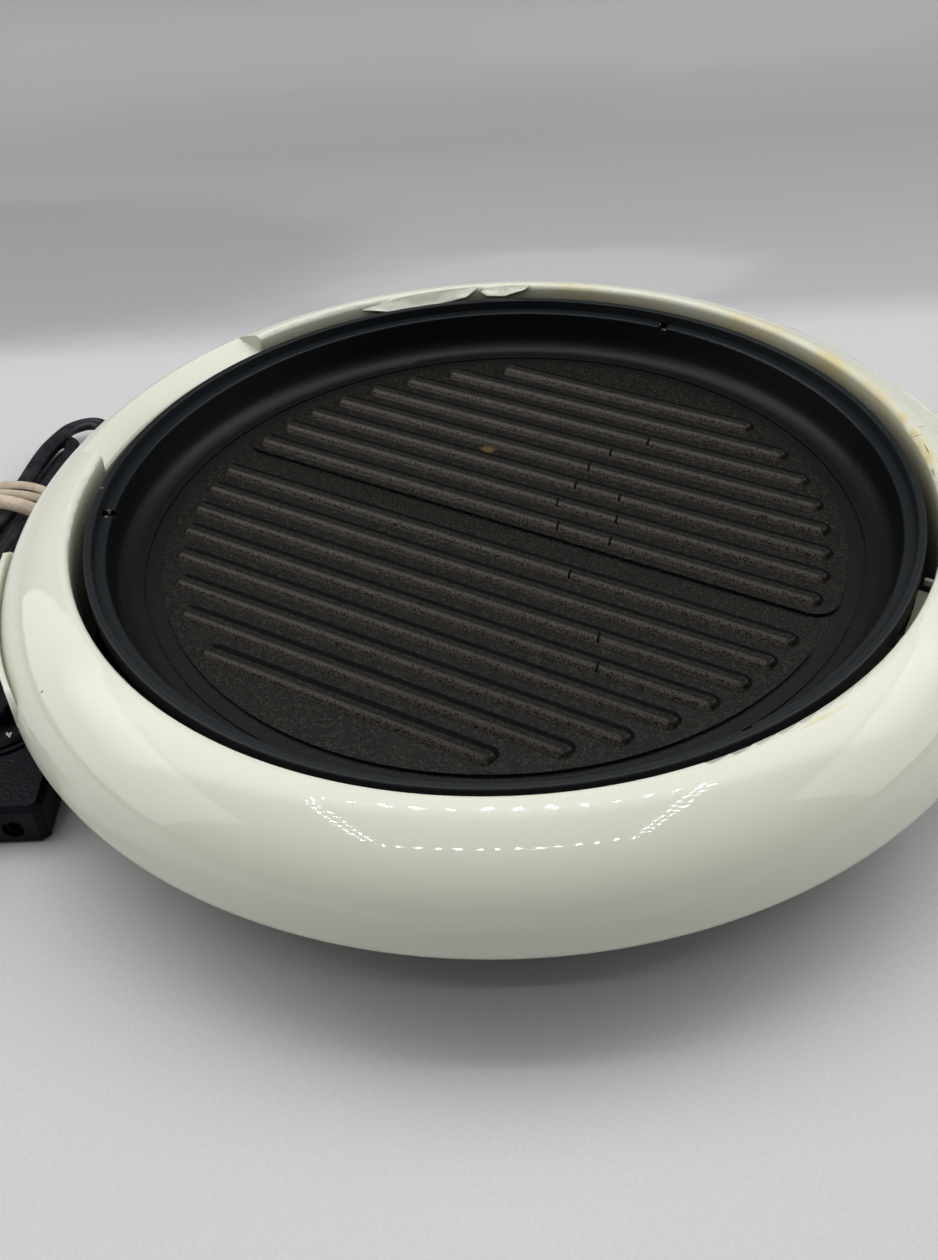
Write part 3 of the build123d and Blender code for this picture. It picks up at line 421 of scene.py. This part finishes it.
inField = addNode(tree, "Math", {"operation": "LESS_THAN"}, {0: radius, 1: pan["fieldRadius"]})
offField = addNode(tree, "Math", {"operation": "SUBTRACT"}, {0: 1.0, 1: inField.outputs[0]})
# painted shade: the pan's inner wall, outside the field and below the lip, is darkened
shaded = overlap(tree, masks["onWall"], masks["belowLip"], offField.outputs[0])
# painted shade: a dark line along the straight edge of the far field, where its step lies in shade
beforeField = addNode(tree, "Math", {"operation": "LESS_THAN"},
                      {0: axes["Y"], 1: pan["edgeLineEnd"]})
sideways = addNode(tree, "Math", {"operation": "ABSOLUTE"}, {0: axes["X"]})
alongField = addNode(tree, "Math", {"operation": "LESS_THAN"},
                     {0: sideways.outputs[0], 1: pan["edgeLineHalf"]})
edgeLine = overlap(tree, masks["edgeLine"], beforeField.outputs[0], alongField.outputs[0])
# across each ridge, broken up a little by wear: painted light on the near flank and painted shade
# along the far shoulder. The ridges mirror in the middle line, so the way across a ridge is turned
# round on the near side.
nearOrFar = addNode(tree, "Math", {"operation": "SIGN"}, {0: axes["Y"]})
away = addNode(tree, "Math", {"operation": "ABSOLUTE"}, {0: axes["Y"]})
away = addNode(tree, "Math", {"operation": "SUBTRACT"}, {0: away.outputs[0], 1: ridge["first"]})
away = addNode(tree, "Math", {"operation": "WRAP"},
               {0: away.outputs[0], 1: ridge["pitch"] / 2, 2: -ridge["pitch"] / 2})
away = addNode(tree, "Math", {"operation": "MULTIPLY"},
               {0: away.outputs[0], 1: nearOrFar.outputs[0]})
away = addNode(tree, "MapRange", {}, {"Value": away.outputs[0], "From Min": -pan["ridgeHalf"],
                                      "From Max": pan["ridgeHalf"]})
across = addNode(tree, "ValToRGB", {"stops": pan["across"]}, {"Fac": away.outputs[0]})
wear = addNode(tree, "TexNoise", {}, {"Vector": place, "Scale": 1000 / pan["wearMm"], "Detail": 6,
                                      "Roughness": 0.7})
worn = addNode(tree, "MapRange", {}, {"Value": wear.outputs["Fac"], "From Min": 0.36,
                                      "From Max": 0.56, "To Min": 0.72})
ridgeLightAndShade = overlap(tree, masks["aboveField"], inField.outputs[0], worn.outputs[0])
layers = [(masks["onRim"], pan["lip"]), (shaded, pan["wall"]), (edgeLine, pan["edgeShade"]),
          (ridgeLightAndShade, across.outputs["Color"])]
for colour, sizeMm, low, high in pan["flecks"]:
    fleck = addNode(tree, "TexNoise", {}, {"Vector": place, "Scale": 1000 / sizeMm, "Detail": 3})
    fleckMask = addNode(tree, "MapRange", {},
                        {"Value": fleck.outputs["Fac"], "From Min": low, "From Max": high})
    layers.append((overlap(tree, fleckMask.outputs[0], masks["onFloor"]), pan[colour]))
for marks, colour in (("stains", "stain"), ("glints", "bare")):
    layers += [(spotMask(tree, place, *spot), pan[colour]) for spot in pan[marks]]
tree.links.new(paintLayers(tree, pan["coat"], layers), shader.inputs["Base Color"])
grain = addNode(tree, "TexNoise", {},
                {"Vector": place, "Scale": 1000 / pan["grainMm"], "Detail": 3})
dent = addNode(tree, "Bump", {}, {"Strength": 0.8, "Distance": pan["grainDepth"],
                                  "Height": grain.outputs["Fac"]})
tree.links.new(dent.outputs["Normal"], shader.inputs["Normal"])
dress("grill_pan", nonStick)

# Small parts, one entry each: two tones, the size of their patches and of the grain (mm), the
# grain's depth, the shader's inputs, and the nodes that the finish is on
smallFinishes = {
    # steel sheath, oxidised by heat: dark brown-grey, dull
    "oxidisedSteelSheath": (("#4A4440", "#2F2A27"), 9, 0.6, 0.00005,
                            {"Metallic": 1.0, "Roughness": 0.55}, "heating_element"),
    # nickel-plated pins: bright with handling marks
    "nickelPlatedPin": (("#C9C2B4", "#8E887C"), 5, 0.5, 0.00002,
                        {"Metallic": 1.0, "Roughness": 0.28}, "terminal_pins"),
    # steatite: fired, matt and off-white
    "firedSteatite": (("#DAD6C8", "#BDB7A6"), 4, 0.4, 0.00004, {"Roughness": 0.6},
                      "pin_insulators"),
    # zinc-plated sheet: rolled and folded, grey with a soft spangle
    "zincPlatedSheet": (("#A9ADAD", "#83888A"), 7, 0.8, 0.00003,
                        {"Metallic": 1.0, "Roughness": 0.38},
                        "terminal_guard", "bracket_1", "bracket_2", "bracket_3"),
    # black PBT, moulded: satin, faint mould grain
    "blackMouldedBase": (("#1B1C1E", "#26282A"), 20, 0.7, 0.00006, {"Roughness": 0.5},
                         "base_shell"),
    # rolled aluminium: bright, hazy
    "rolledAluminium": (("#D4D5D3", "#B5B7B6"), 25, 0.9, 0.00003,
                        {"Metallic": 1.0, "Roughness": 0.3}, "heat_reflector"),
    # zinc-plated screws: grey-white, a little dulled
    "zincPlatedScrew": (("#B7B9B4", "#8C8F8C"), 3, 0.4, 0.00003,
                        {"Metallic": 1.0, "Roughness": 0.35},
                        "shell_screws", "reflector_screws", "bracket_screws", "case_screws"),
    # rubber feet, moulded: matt, dusty
    "mouldedRubber": (("#1A1A1A", "#2C2B29"), 6, 0.5, 0.00006, {"Roughness": 0.8},
                      "foot_1", "foot_2", "foot_3", "foot_4"),
    # black phenolic, moulded with a leathery pebble: the control's case
    "caseBlackPhenolic": (("#070A0F", "#0C1118"), 12, 1.1, 0.0006,
                          {"Roughness": 0.34, "Specular IOR Level": 0.15},
                          "control_upper_case", "control_lower_case"),
    # black phenolic, moulded smooth: the dial, a little shinier than its case
    "dialBlackPhenolic": (("#0A0C0F", "#121519"), 12, 0.6, 0.00005,
                          {"Roughness": 0.35, "Specular IOR Level": 0.18}, "dial", "dial_shaft"),
    # stainless tube, drawn: bright, with a brown heat tint
    "drawnStainlessTube": (("#C4BFB6", "#9A9186"), 8, 0.5, 0.00003,
                           {"Metallic": 1.0, "Roughness": 0.3}, "probe_tube"),
    # brass contacts, turned: gone dark with heat
    "darkenedBrass": (("#3A3124", "#1E1A15"), 4, 0.4, 0.00003,
                      {"Metallic": 1.0, "Roughness": 0.5}, "pin_sockets"),
    # brown phenolic block, moulded: satin
    "mouldedSwitchBlock": (("#3A2A20", "#4A382B"), 8, 0.6, 0.00005, {"Roughness": 0.55},
                           "thermostat_switch"),
    # black PVC, moulded over the cord: satin, faint grain
    "mouldedBlackPvc": (("#131417", "#1F2226"), 6, 0.6, 0.00006, {"Roughness": 0.42},
                        "strain_relief", "plug_body"),
    # brass blades, rolled: bright yellow, scratched by use
    "rolledBrassBlade": (("#CDB070", "#AE9355"), 5, 0.4, 0.00002,
                         {"Metallic": 1.0, "Roughness": 0.3}, "plug_blades"),
}
for name, (tones, patchMm, grainMm, grainDepth, inputs, *dressed) in smallFinishes.items():
    finish = twoToneFinish(name, tones, patchMm, grainMm, grainDepth, inputs)
    for node in dressed:
        dress(node, finish)
print("finishes on")

# Ridge crests: thin shells over the casting's plain ridges, rounded, with a flat top
ridgeLines = []
for side in (1, -1):
    for number in range(ridge["count"]):
        y = side * (ridge["first"] + number * ridge["pitch"])
        ridgeLines.append((y, math.sqrt(ridge["reach"] ** 2 - y * y) - ridge["width"]))


# a level stadium outline round one ridge, as edges
def ridgeOutline(target, y, straight, radius, z, shift=(0, 0)):
    outline = bmesh.ops.create_circle(target, segments=ridge["segments"], radius=radius)["verts"]
    for v in outline:
        v.co.x += math.copysign(straight, v.co.x) if abs(v.co.x) > 1e-6 else 0
    bmesh.ops.translate(target, verts=outline, vec=(shift[0], y + shift[1], z))
    return list(dict.fromkeys(e for v in outline for e in v.link_edges))


# painted shade, matt and nearly black, along the far shoulder and foot of every ridge; the nicks
# are coloured with it too
shadeAndNickFinish = twoToneFinish("paintedShadeAndNicks", ("#030303", "#0D0B09"), 2.5, None, None,
                         {"Roughness": 0.85, "Specular IOR Level": 0.1},
                         toneAt=(0.35, 0.75), patchDetail=4)
# the coat on the tops, scoured by spatulas: dull, with paler scuffs
scouredCoat = twoToneFinish("scouredCoat", ("#0E0D0B", "#25231E"), 1.3, 0.9, 0.00014,
                            {"Roughness": 0.75, "Specular IOR Level": 0.15})
scoured, shadeAndNicks = 1, 2  # their places among the crests' finishes, after the plain coat's 0
crests = bmesh.new()
for y, straight in ridgeLines:
    loops = []
    made = len(crests.faces)
    for wide, high in ridge["levels"]:
        loops.append(ridgeOutline(crests, y, straight, wide * mm, ridge["field"] + high * mm))
        if len(loops) > 1:
            bmesh.ops.bridge_loops(crests, edges=loops[-2] + loops[-1])
    bmesh.ops.edgeloop_fill(crests, edges=loops[-1])
    crests.faces.ensure_lookup_table()
    for face in crests.faces[made:]:
        across = face.calc_center_median().y - y
        inStrip = ridge["scoured"][0] < across < ridge["scoured"][1]
        if len(face.verts) > 4 or inStrip and face.normal.z > ridge["scouredLevel"]:
            face.material_index = scoured
        # the far shoulder takes the painted shade
        elif across >= ridge["scoured"][1]:
            face.material_index = shadeAndNicks
bmesh.ops.recalc_face_normals(crests, faces=crests.faces)
# nicks: dark strips that climb the near half of a crest, a little skewed
for x, y in ridge["nicks"]:
    strip = []
    for wide, high in ridge["levels"][ridge["nickFrom"]:]:
        level = (ridge["field"] + high * mm) + ridge["nickLift"]
        skew = (wide - 2) * ridge["nickSkew"]
        strip.append([crests.verts.new((x + skew + edge, y - wide * mm, level))
                      for edge in (-ridge["nickHalf"], ridge["nickHalf"])])
    for (a, b), (c, d) in zip(strip, strip[1:]):
        crests.faces.new((a, b, d, c)).material_index = shadeAndNicks
ridgeCrests = placePiece("ridgeCrests", crests, nonStick, "pan", angle=60)
ridgeCrests.data.materials.append(scouredCoat)
ridgeCrests.data.materials.append(shadeAndNickFinish)

# painted shadow: a dark sheet on the field just behind each ridge, where its shadow falls
shadowFilms = bmesh.new()
for y, straight in ridgeLines:
    film = ridgeOutline(shadowFilms, y, straight, ridge["filmHalf"], ridge["field"] + ridge["filmLift"],
                        ridge["filmShift"])
    bmesh.ops.edgeloop_fill(shadowFilms, edges=film)
shadowFilms.normal_update()
bmesh.ops.reverse_faces(shadowFilms, faces=[face for face in shadowFilms.faces if face.normal.z < 0])
placePiece("paintedShadowFilm", shadowFilms, shadeAndNickFinish, "pan", smooth=False)
print("ridges raised")

# Rubber band: natural rubber, cut from sheet, dull, with darker patches of dirt. Four ribbons are
# wound round hank and cord and slide over each other. Round: places across the hank and up (mm).
# Drift: how far each ribbon strays along the hank there (mm). Lift: how far it stands out (mm).
band = {"tones": ("#CFC0AC", "#A8957E"), "patchMm": 7, "grainMm": 0.35, "grainDepth": 0.0001,
        "along": 0.070, "wide": 0.0040, "thick": 0.0010, "centre": (-10, 9),
        "lowestLine": 0.0006, "lowestFace": 0.0003,
        "round": ((15.8, 9), (15.2, 16.6), (5, 18.3), (-11, 17.9), (-24, 12.6), (-35.5, 8.9),
                  (-37.2, 4.4), (-34, 0.9), (-15, 0.6), (4, 0.6), (14.6, 1.4)),
        "drift": ((-1, 3, 9, 10, 8, 4, 0, -2, -3, -3, -2), (0, 1, 1, 2, 4, 5, 4, 3, 2, 1, 0),
                  (3, 3, -2, -4, -4, -2, 1, 2, 3, 3, 3),
                  (-7, -6, -7, -9, -9, -7, -5, -4, -5, -6, -7)),
        "lift": (0.0, 0.5, 0.2, 0.8)}
bandRubber = twoToneFinish("cutNaturalRubber", band["tones"], band["patchMm"], band["grainMm"],
                           band["grainDepth"],
                           {"Roughness": 0.72, "IOR": 1.52, "Subsurface Weight": 0.15,
                            "Subsurface Radius": (0.002, 0.001, 0.0006)},
                           grainDetail=2, grainStrength=0.3)
# a ribbon's section: a flat strip with its edges taken off, as shares of half its width and height
halfWide, halfThick = band["wide"] / 2, band["thick"] / 2
ribbonCorners = [(halfWide * across, halfThick * up) for across, up in (
    (-1, -0.5), (-0.9, -1), (0.9, -1), (1, -0.5), (1, 0.5), (0.9, 1), (-0.9, 1), (-1, 0.5))]
ribbons = bmesh.new()
for drift, lift in zip(band["drift"], band["lift"]):
    places = []
    for (t, z), s in zip(band["round"], drift):
        outwards = Vector((t - band["centre"][0], z - band["centre"][1], 0)).normalized() * lift
        places.append(hankPoint(band["along"] + s * mm, (t + outwards.x) * mm,
                                max(band["lowestLine"], (z + outwards.y) * mm)))
    ribbon, _ = sweepAlong(routeCurve("ribbonRoute", places, closed=True),
                           outlineCurve("ribbonOutline", ribbonCorners), "MINIMUM")
    ribbons.from_mesh(ribbon)
    bpy.data.meshes.remove(ribbon)
for v in ribbons.verts:
    v.co.z = max(v.co.z, band["lowestFace"])
bmesh.ops.recalc_face_normals(ribbons, faces=ribbons.faces)
bandPiece = placePiece("bandRibbons", ribbons, bandRubber, "control", angle=60)
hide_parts("rubber_band")
print("band wound")


# a value read off a table of places and values
def readTable(table, place):
    for (a, low), (b, high) in zip(table, table[1:]):
        if a <= place <= b:
            return low + (high - low) * (place - a) / (b - a)
    return table[-1][1]


# Lip of the mouth where the heat made it sag: thin leaves that hang from the edge (sizes in mm,
# turns in degrees). The tables give the heights of a leaf's upper and lower edges at shares of the
# way along it. It hangs in from the mouth by reach, less where it is lower than fullAt.
leaves = {"thickMm": 0.7, "grid": (48, 10), "mouth": 165.3, "fall": 0.9, "fullFallAt": 3,
          "reach": 3.6, "curl": 1.2, "fullReachAt": 4,
          "ripple": 0.5, "rippleOut": 0.4, "waves": (11, 2),
          "shapes": (
              {"turn": (142.6, 122.9),
               "upper": ((0, 80.9), (0.1, 81.6), (0.33, 83.3), (0.6, 83.8), (1, 84.0)),
               "lower": ((0, 80.5), (0.15, 78.8), (0.34, 77.1), (0.66, 77.4), (0.9, 80.0),
                         (1, 83.2))},
              {"turn": (122.4, 114.3), "upper": ((0, 81.4), (0.12, 83.0), (0.5, 83.8), (1, 83.9)),
               "lower": ((0, 81.0), (0.12, 79.6), (0.47, 79.4), (0.88, 81.6), (1, 83.2))})}
# white ABS where it is torn and folded: as pale as the ring, but satin
cleanAbs = twoToneFinish("cleanMouldedAbs", ("#DCDDCE", "#D0D0C1"), 9, 1.0, 0.00002,
                         {"Roughness": 0.25, "IOR": 1.53})
for number, shape in enumerate(leaves["shapes"]):
    leaf = bmesh.new()
    bmesh.ops.create_grid(leaf, x_segments=leaves["grid"][0], y_segments=leaves["grid"][1],
                          size=0.5)
    start, stop = shape["turn"]
    for v in leaf.verts:
        along, down = v.co.x + 0.5, v.co.y + 0.5
        top, foot = readTable(shape["upper"], along), readTable(shape["lower"], along)
        ripple = noise.noise((along * leaves["waves"][0], down * leaves["waves"][1], number))
        ripple *= leaves["ripple"]
        z = (top + (foot - top) * down * leaves["fall"]
             + ripple * down * min(1, (top - foot) / leaves["fullFallAt"]))
        inwards = leaves["reach"] * down ** leaves["curl"] + leaves["rippleOut"] * ripple
        r = leaves["mouth"] - inwards * min(1, (top - foot) / leaves["fullReachAt"])
        a = math.radians(start + (stop - start) * along)
        v.co = (r * mm * math.cos(a), r * mm * math.sin(a), z * mm)
    bmesh.ops.recalc_face_normals(leaf, faces=leaf.faces)
    piece = placePiece("saggedLip" + str(number + 1), leaf, cleanAbs, "housing",
                       angle=180)
    wall = piece.modifiers.new("wall", "SOLIDIFY")
    wall.thickness = leaves["thickMm"] * mm
    wall.offset = 0
    softened = piece.modifiers.new("softened", "SUBSURF")
    softened.levels = softened.render_levels = 1
print("sagged lip made")

# Opening for the control: the pale end rib of its roof, and a bent wire spring in the slot
opening = {"ribSize": (0.0068, 0.0019, 0.0026), "ribPlace": (0.1606, 0.0366, 0.0640),
           "ribEdge": 0.0003, "wireRadius": 0.00045, "wireSides": 10,
           "wire": ((0.1612, 0.0052, 0.0615), (0.1606, 0.0040, 0.0642), (0.1592, 0.0012, 0.0640),
                    (0.1590, -0.0026, 0.0632), (0.1604, -0.0046, 0.0615))}
rib = bmesh.new()
bmesh.ops.create_cube(rib, size=1)
bmesh.ops.scale(rib, verts=rib.verts, vec=opening["ribSize"])
bmesh.ops.translate(rib, verts=rib.verts, vec=opening["ribPlace"])
bmesh.ops.bevel(rib, geom=rib.edges, offset=opening["ribEdge"], segments=2, profile=0.5,
                affect="EDGES", material=-1)
placePiece("roofRib", rib, cleanAbs, "housing")
# spring wire, drawn: grey steel with duller stretches
springWire = twoToneFinish("drawnSpringWire", ("#A8A69E", "#6E6B62"), 1.5, None, None,
                           {"Metallic": 1.0, "Roughness": 0.35}, toneAt=(0.35, 0.75), patchDetail=4)
wireTurns = [i * 2 * math.pi / opening["wireSides"] for i in range(opening["wireSides"])]
wireCorners = [(opening["wireRadius"] * math.cos(a), opening["wireRadius"] * math.sin(a))
               for a in wireTurns]
wireMesh, _ = sweepAlong(routeCurve("wireRoute", opening["wire"]),
                         outlineCurve("wireOutline", wireCorners), "MINIMUM")
placePiece("slotSpring", wireMesh, springWire, "housing")
print("opening detailed")

# Dial numbers on the skirt of the dial; sweep and start in degrees
dialPrint = {"numbers": "12345678", "centre": (-0.2011, -0.051), "ring": 0.0158, "top": 0.0212,
             "high": 0.0052, "thick": 0.00004, "sweep": 280, "start": 25}
# pad print: a matt off-white ink, thin in places
padInk = twoToneFinish("whitePadPrint", ("#D9DAD6", "#9DA09E"), 0.8, None, None,
                       {"Roughness": 0.55}, toneAt=(0.3, 0.75), patchDetail=3)
dialCentre = sidePoint(*dialPrint["centre"], dialPrint["top"])
numbers = bmesh.new()
for number, label in enumerate(dialPrint["numbers"]):
    letters = bpy.data.curves.new("dialNumber", "FONT")
    letters.body = label
    letters.size = dialPrint["high"]
    letters.align_x = letters.align_y = "CENTER"
    letters.extrude = dialPrint["thick"]
    holder = linkObject("dialNumber", letters)
    bpy.context.view_layer.update()
    flatMesh = bpy.data.meshes.new_from_object(holder)
    bpy.data.objects.remove(holder)
    bpy.data.curves.remove(letters)
    gaps = len(dialPrint["numbers"]) - 1
    angle = math.radians(dialPrint["start"] + number * dialPrint["sweep"] / gaps)
    flatMesh.transform(Matrix.Translation(dialCentre) @ Matrix.Rotation(sideTurn - angle, 4, "Z")
                       @ Matrix.Translation((0, dialPrint["ring"], 0)))
    numbers.from_mesh(flatMesh)
    bpy.data.meshes.remove(flatMesh)
placePiece("dialNumbers", numbers, padInk, "dial", smooth=False)
print("dial printed")

# Table: pale grey paper, matt, that grows darker behind the grill, with soft clouds.
# Fade: how far away its tones begin and end. Clouds: place, half sizes, colour, strength.
table = {"half": 4, "fade": (0.25, 0.85), "fibreScale": 700.0, "fibreTone": (0.97, 1.03),
         "tones": ((0.0, "#C8C8C8"), (0.03, "#C6C6C7"), (0.09, "#ABACAD"), (0.28, "#A3A4A5"),
                   (0.52, "#9D9E9F"), (1.0, "#B4B5B6")),
         "clouds": (((-0.33, 0.40), (0.32, 0.13), "#8B8C8D", 0.5),
                    ((0.04, 0.34), (0.16, 0.05), "#C6C6C7", 0.4),
                    ((-0.12, 0.62), (0.30, 0.10), "#949596", 0.2),
                    ((0.20, 0.80), (0.25, 0.12), "#BFC0C1", 0.2)), "cloudRagged": 0.3}
tableTop = bmesh.new()
bmesh.ops.create_grid(tableTop, x_segments=1, y_segments=1, size=table["half"])
tableMesh = bpy.data.meshes.new("table")
tableTop.to_mesh(tableMesh)
tableTop.free()
paper, tree, shader, place = newFinish("paleGreyPaper", {"Roughness": 0.6})
turned = addNode(tree, "Mapping", {}, {"Vector": place, "Rotation": (0, 0, -sideTurn)})
axes = addNode(tree, "SeparateXYZ", {}, {0: turned.outputs[0]}).outputs
away = addNode(tree, "MapRange", {}, {"Value": axes["Y"], "From Min": table["fade"][0],
                                      "From Max": table["fade"][1]})
tone = addNode(tree, "ValToRGB", {"stops": table["tones"]}, {"Fac": away.outputs[0]})
layers = [(spotMask(tree, place, sidePoint(u, v, 0), (*halfSizes, 1), math.degrees(sideTurn),
                    strength, table["cloudRagged"]), colour)
          for (u, v), halfSizes, colour, strength in table["clouds"]]
tone = paintLayers(tree, tone.outputs["Color"], layers)
fibres = addNode(tree, "TexNoise", {}, {"Vector": place, "Scale": table["fibreScale"], "Detail": 2})
shift = addNode(tree, "MapRange", {},
                {"Value": fibres.outputs["Fac"], "From Min": 0.3, "From Max": 0.7,
                 "To Min": table["fibreTone"][0], "To Max": table["fibreTone"][1]})
tone = addNode(tree, "VectorMath", {"operation": "SCALE"}, {0: tone, "Scale": shift.outputs[0]})
tree.links.new(tone.outputs[0], shader.inputs["Base Color"])
tableMesh.materials.append(paper)
tablePiece = linkObject("table", tableMesh)

# Soft studio light: a broad overhead light that fades towards its edges, a weak fill from each
# side, a frame of small lamps that mirrors in the ring, and a grey world.
# The overhead light is nested panels, each a step higher and larger all round than the last. Near
# edge, far edge and half width: the first panel's, and what each further one adds.
overhead = {"panels": 7, "height": 1.3, "step": 0.006, "wattsPerArea": 1.06,
            "nearEdge": (-0.02, 0.035), "farEdge": (0.55, 0.08), "half": (1.2, 0.3)}
fill = {"away": 1.9, "back": 0.2, "height": 0.9, "size": (2.4, 1.5), "watts": 14.0,
        "aim": (0, 0, 0.06)}
# rows: how many lamps, where the row starts and stops along the side and away from it, watts each
lampFrame = {"height": 0.9, "size": (0.0105, 0.0105), "rows": {
    "back": (14, (-0.39, 0.35), (-0.08, -0.08), 0.048),
    "front": (14, (-0.37, 0.33), (-0.62, -0.62), 0.06),
    "left": (11, (-0.42, -0.42), (-0.57, -0.12), 0.017),
    "leftInner": (11, (-0.385, -0.385), (-0.55, -0.10), 0.017),
    "right": (11, (0.355, 0.38), (-0.57, -0.12), 0.017),
    "rightInner": (11, (0.33, 0.345), (-0.55, -0.10), 0.017)}}
surround = {"colour": "#FFFFFF", "strength": 0.085}


# a light panel that faces its aim, or straight down and in line with the side
def softPanel(name, place, size, watts, aim=None):
    lamp = bpy.data.lights.new(name, "AREA")
    lamp.shape = "RECTANGLE"
    lamp.size, lamp.size_y = size
    lamp.energy = watts
    panel = linkObject(name, lamp)
    panel.location = place
    panel.rotation_euler = (0, 0, sideTurn)
    if aim:
        panel.rotation_euler = (Vector(aim) - Vector(place)).to_track_quat("-Z", "Y").to_euler()


for number in range(overhead["panels"]):
    nearEdge = overhead["nearEdge"][0] - overhead["nearEdge"][1] * number
    farEdge = overhead["farEdge"][0] + overhead["farEdge"][1] * number
    half = overhead["half"][0] + overhead["half"][1] * number
    height = overhead["height"] + overhead["step"] * number
    softPanel("overheadPanel" + str(number + 1),
              sidePoint(0, (nearEdge + farEdge) / 2, height), (2 * half, farEdge - nearEdge),
              overhead["wattsPerArea"] * 2 * half * (farEdge - nearEdge))
for name, u in (("leftFill", -fill["away"]), ("rightFill", fill["away"])):
    softPanel(name, sidePoint(u, fill["back"], fill["height"]), fill["size"], fill["watts"],
              fill["aim"])
for name, (count, along, across, watts) in lampFrame["rows"].items():
    for number in range(count):
        share = number / (count - 1)
        u = along[0] + share * (along[1] - along[0])
        v = across[0] + share * (across[1] - across[0])
        softPanel(name + str(number + 1), sidePoint(u, v, lampFrame["height"]), lampFrame["size"],
                  watts)
world = bpy.data.worlds.new("studioGrey")
world.use_nodes = True
background = world.node_tree.nodes["Background"].inputs
background["Color"].default_value = hexColour(surround["colour"])
background["Strength"].default_value = surround["strength"]
bpy.context.scene.world = world
bpy.context.scene.view_settings.view_transform = "Standard"
print("light ready")
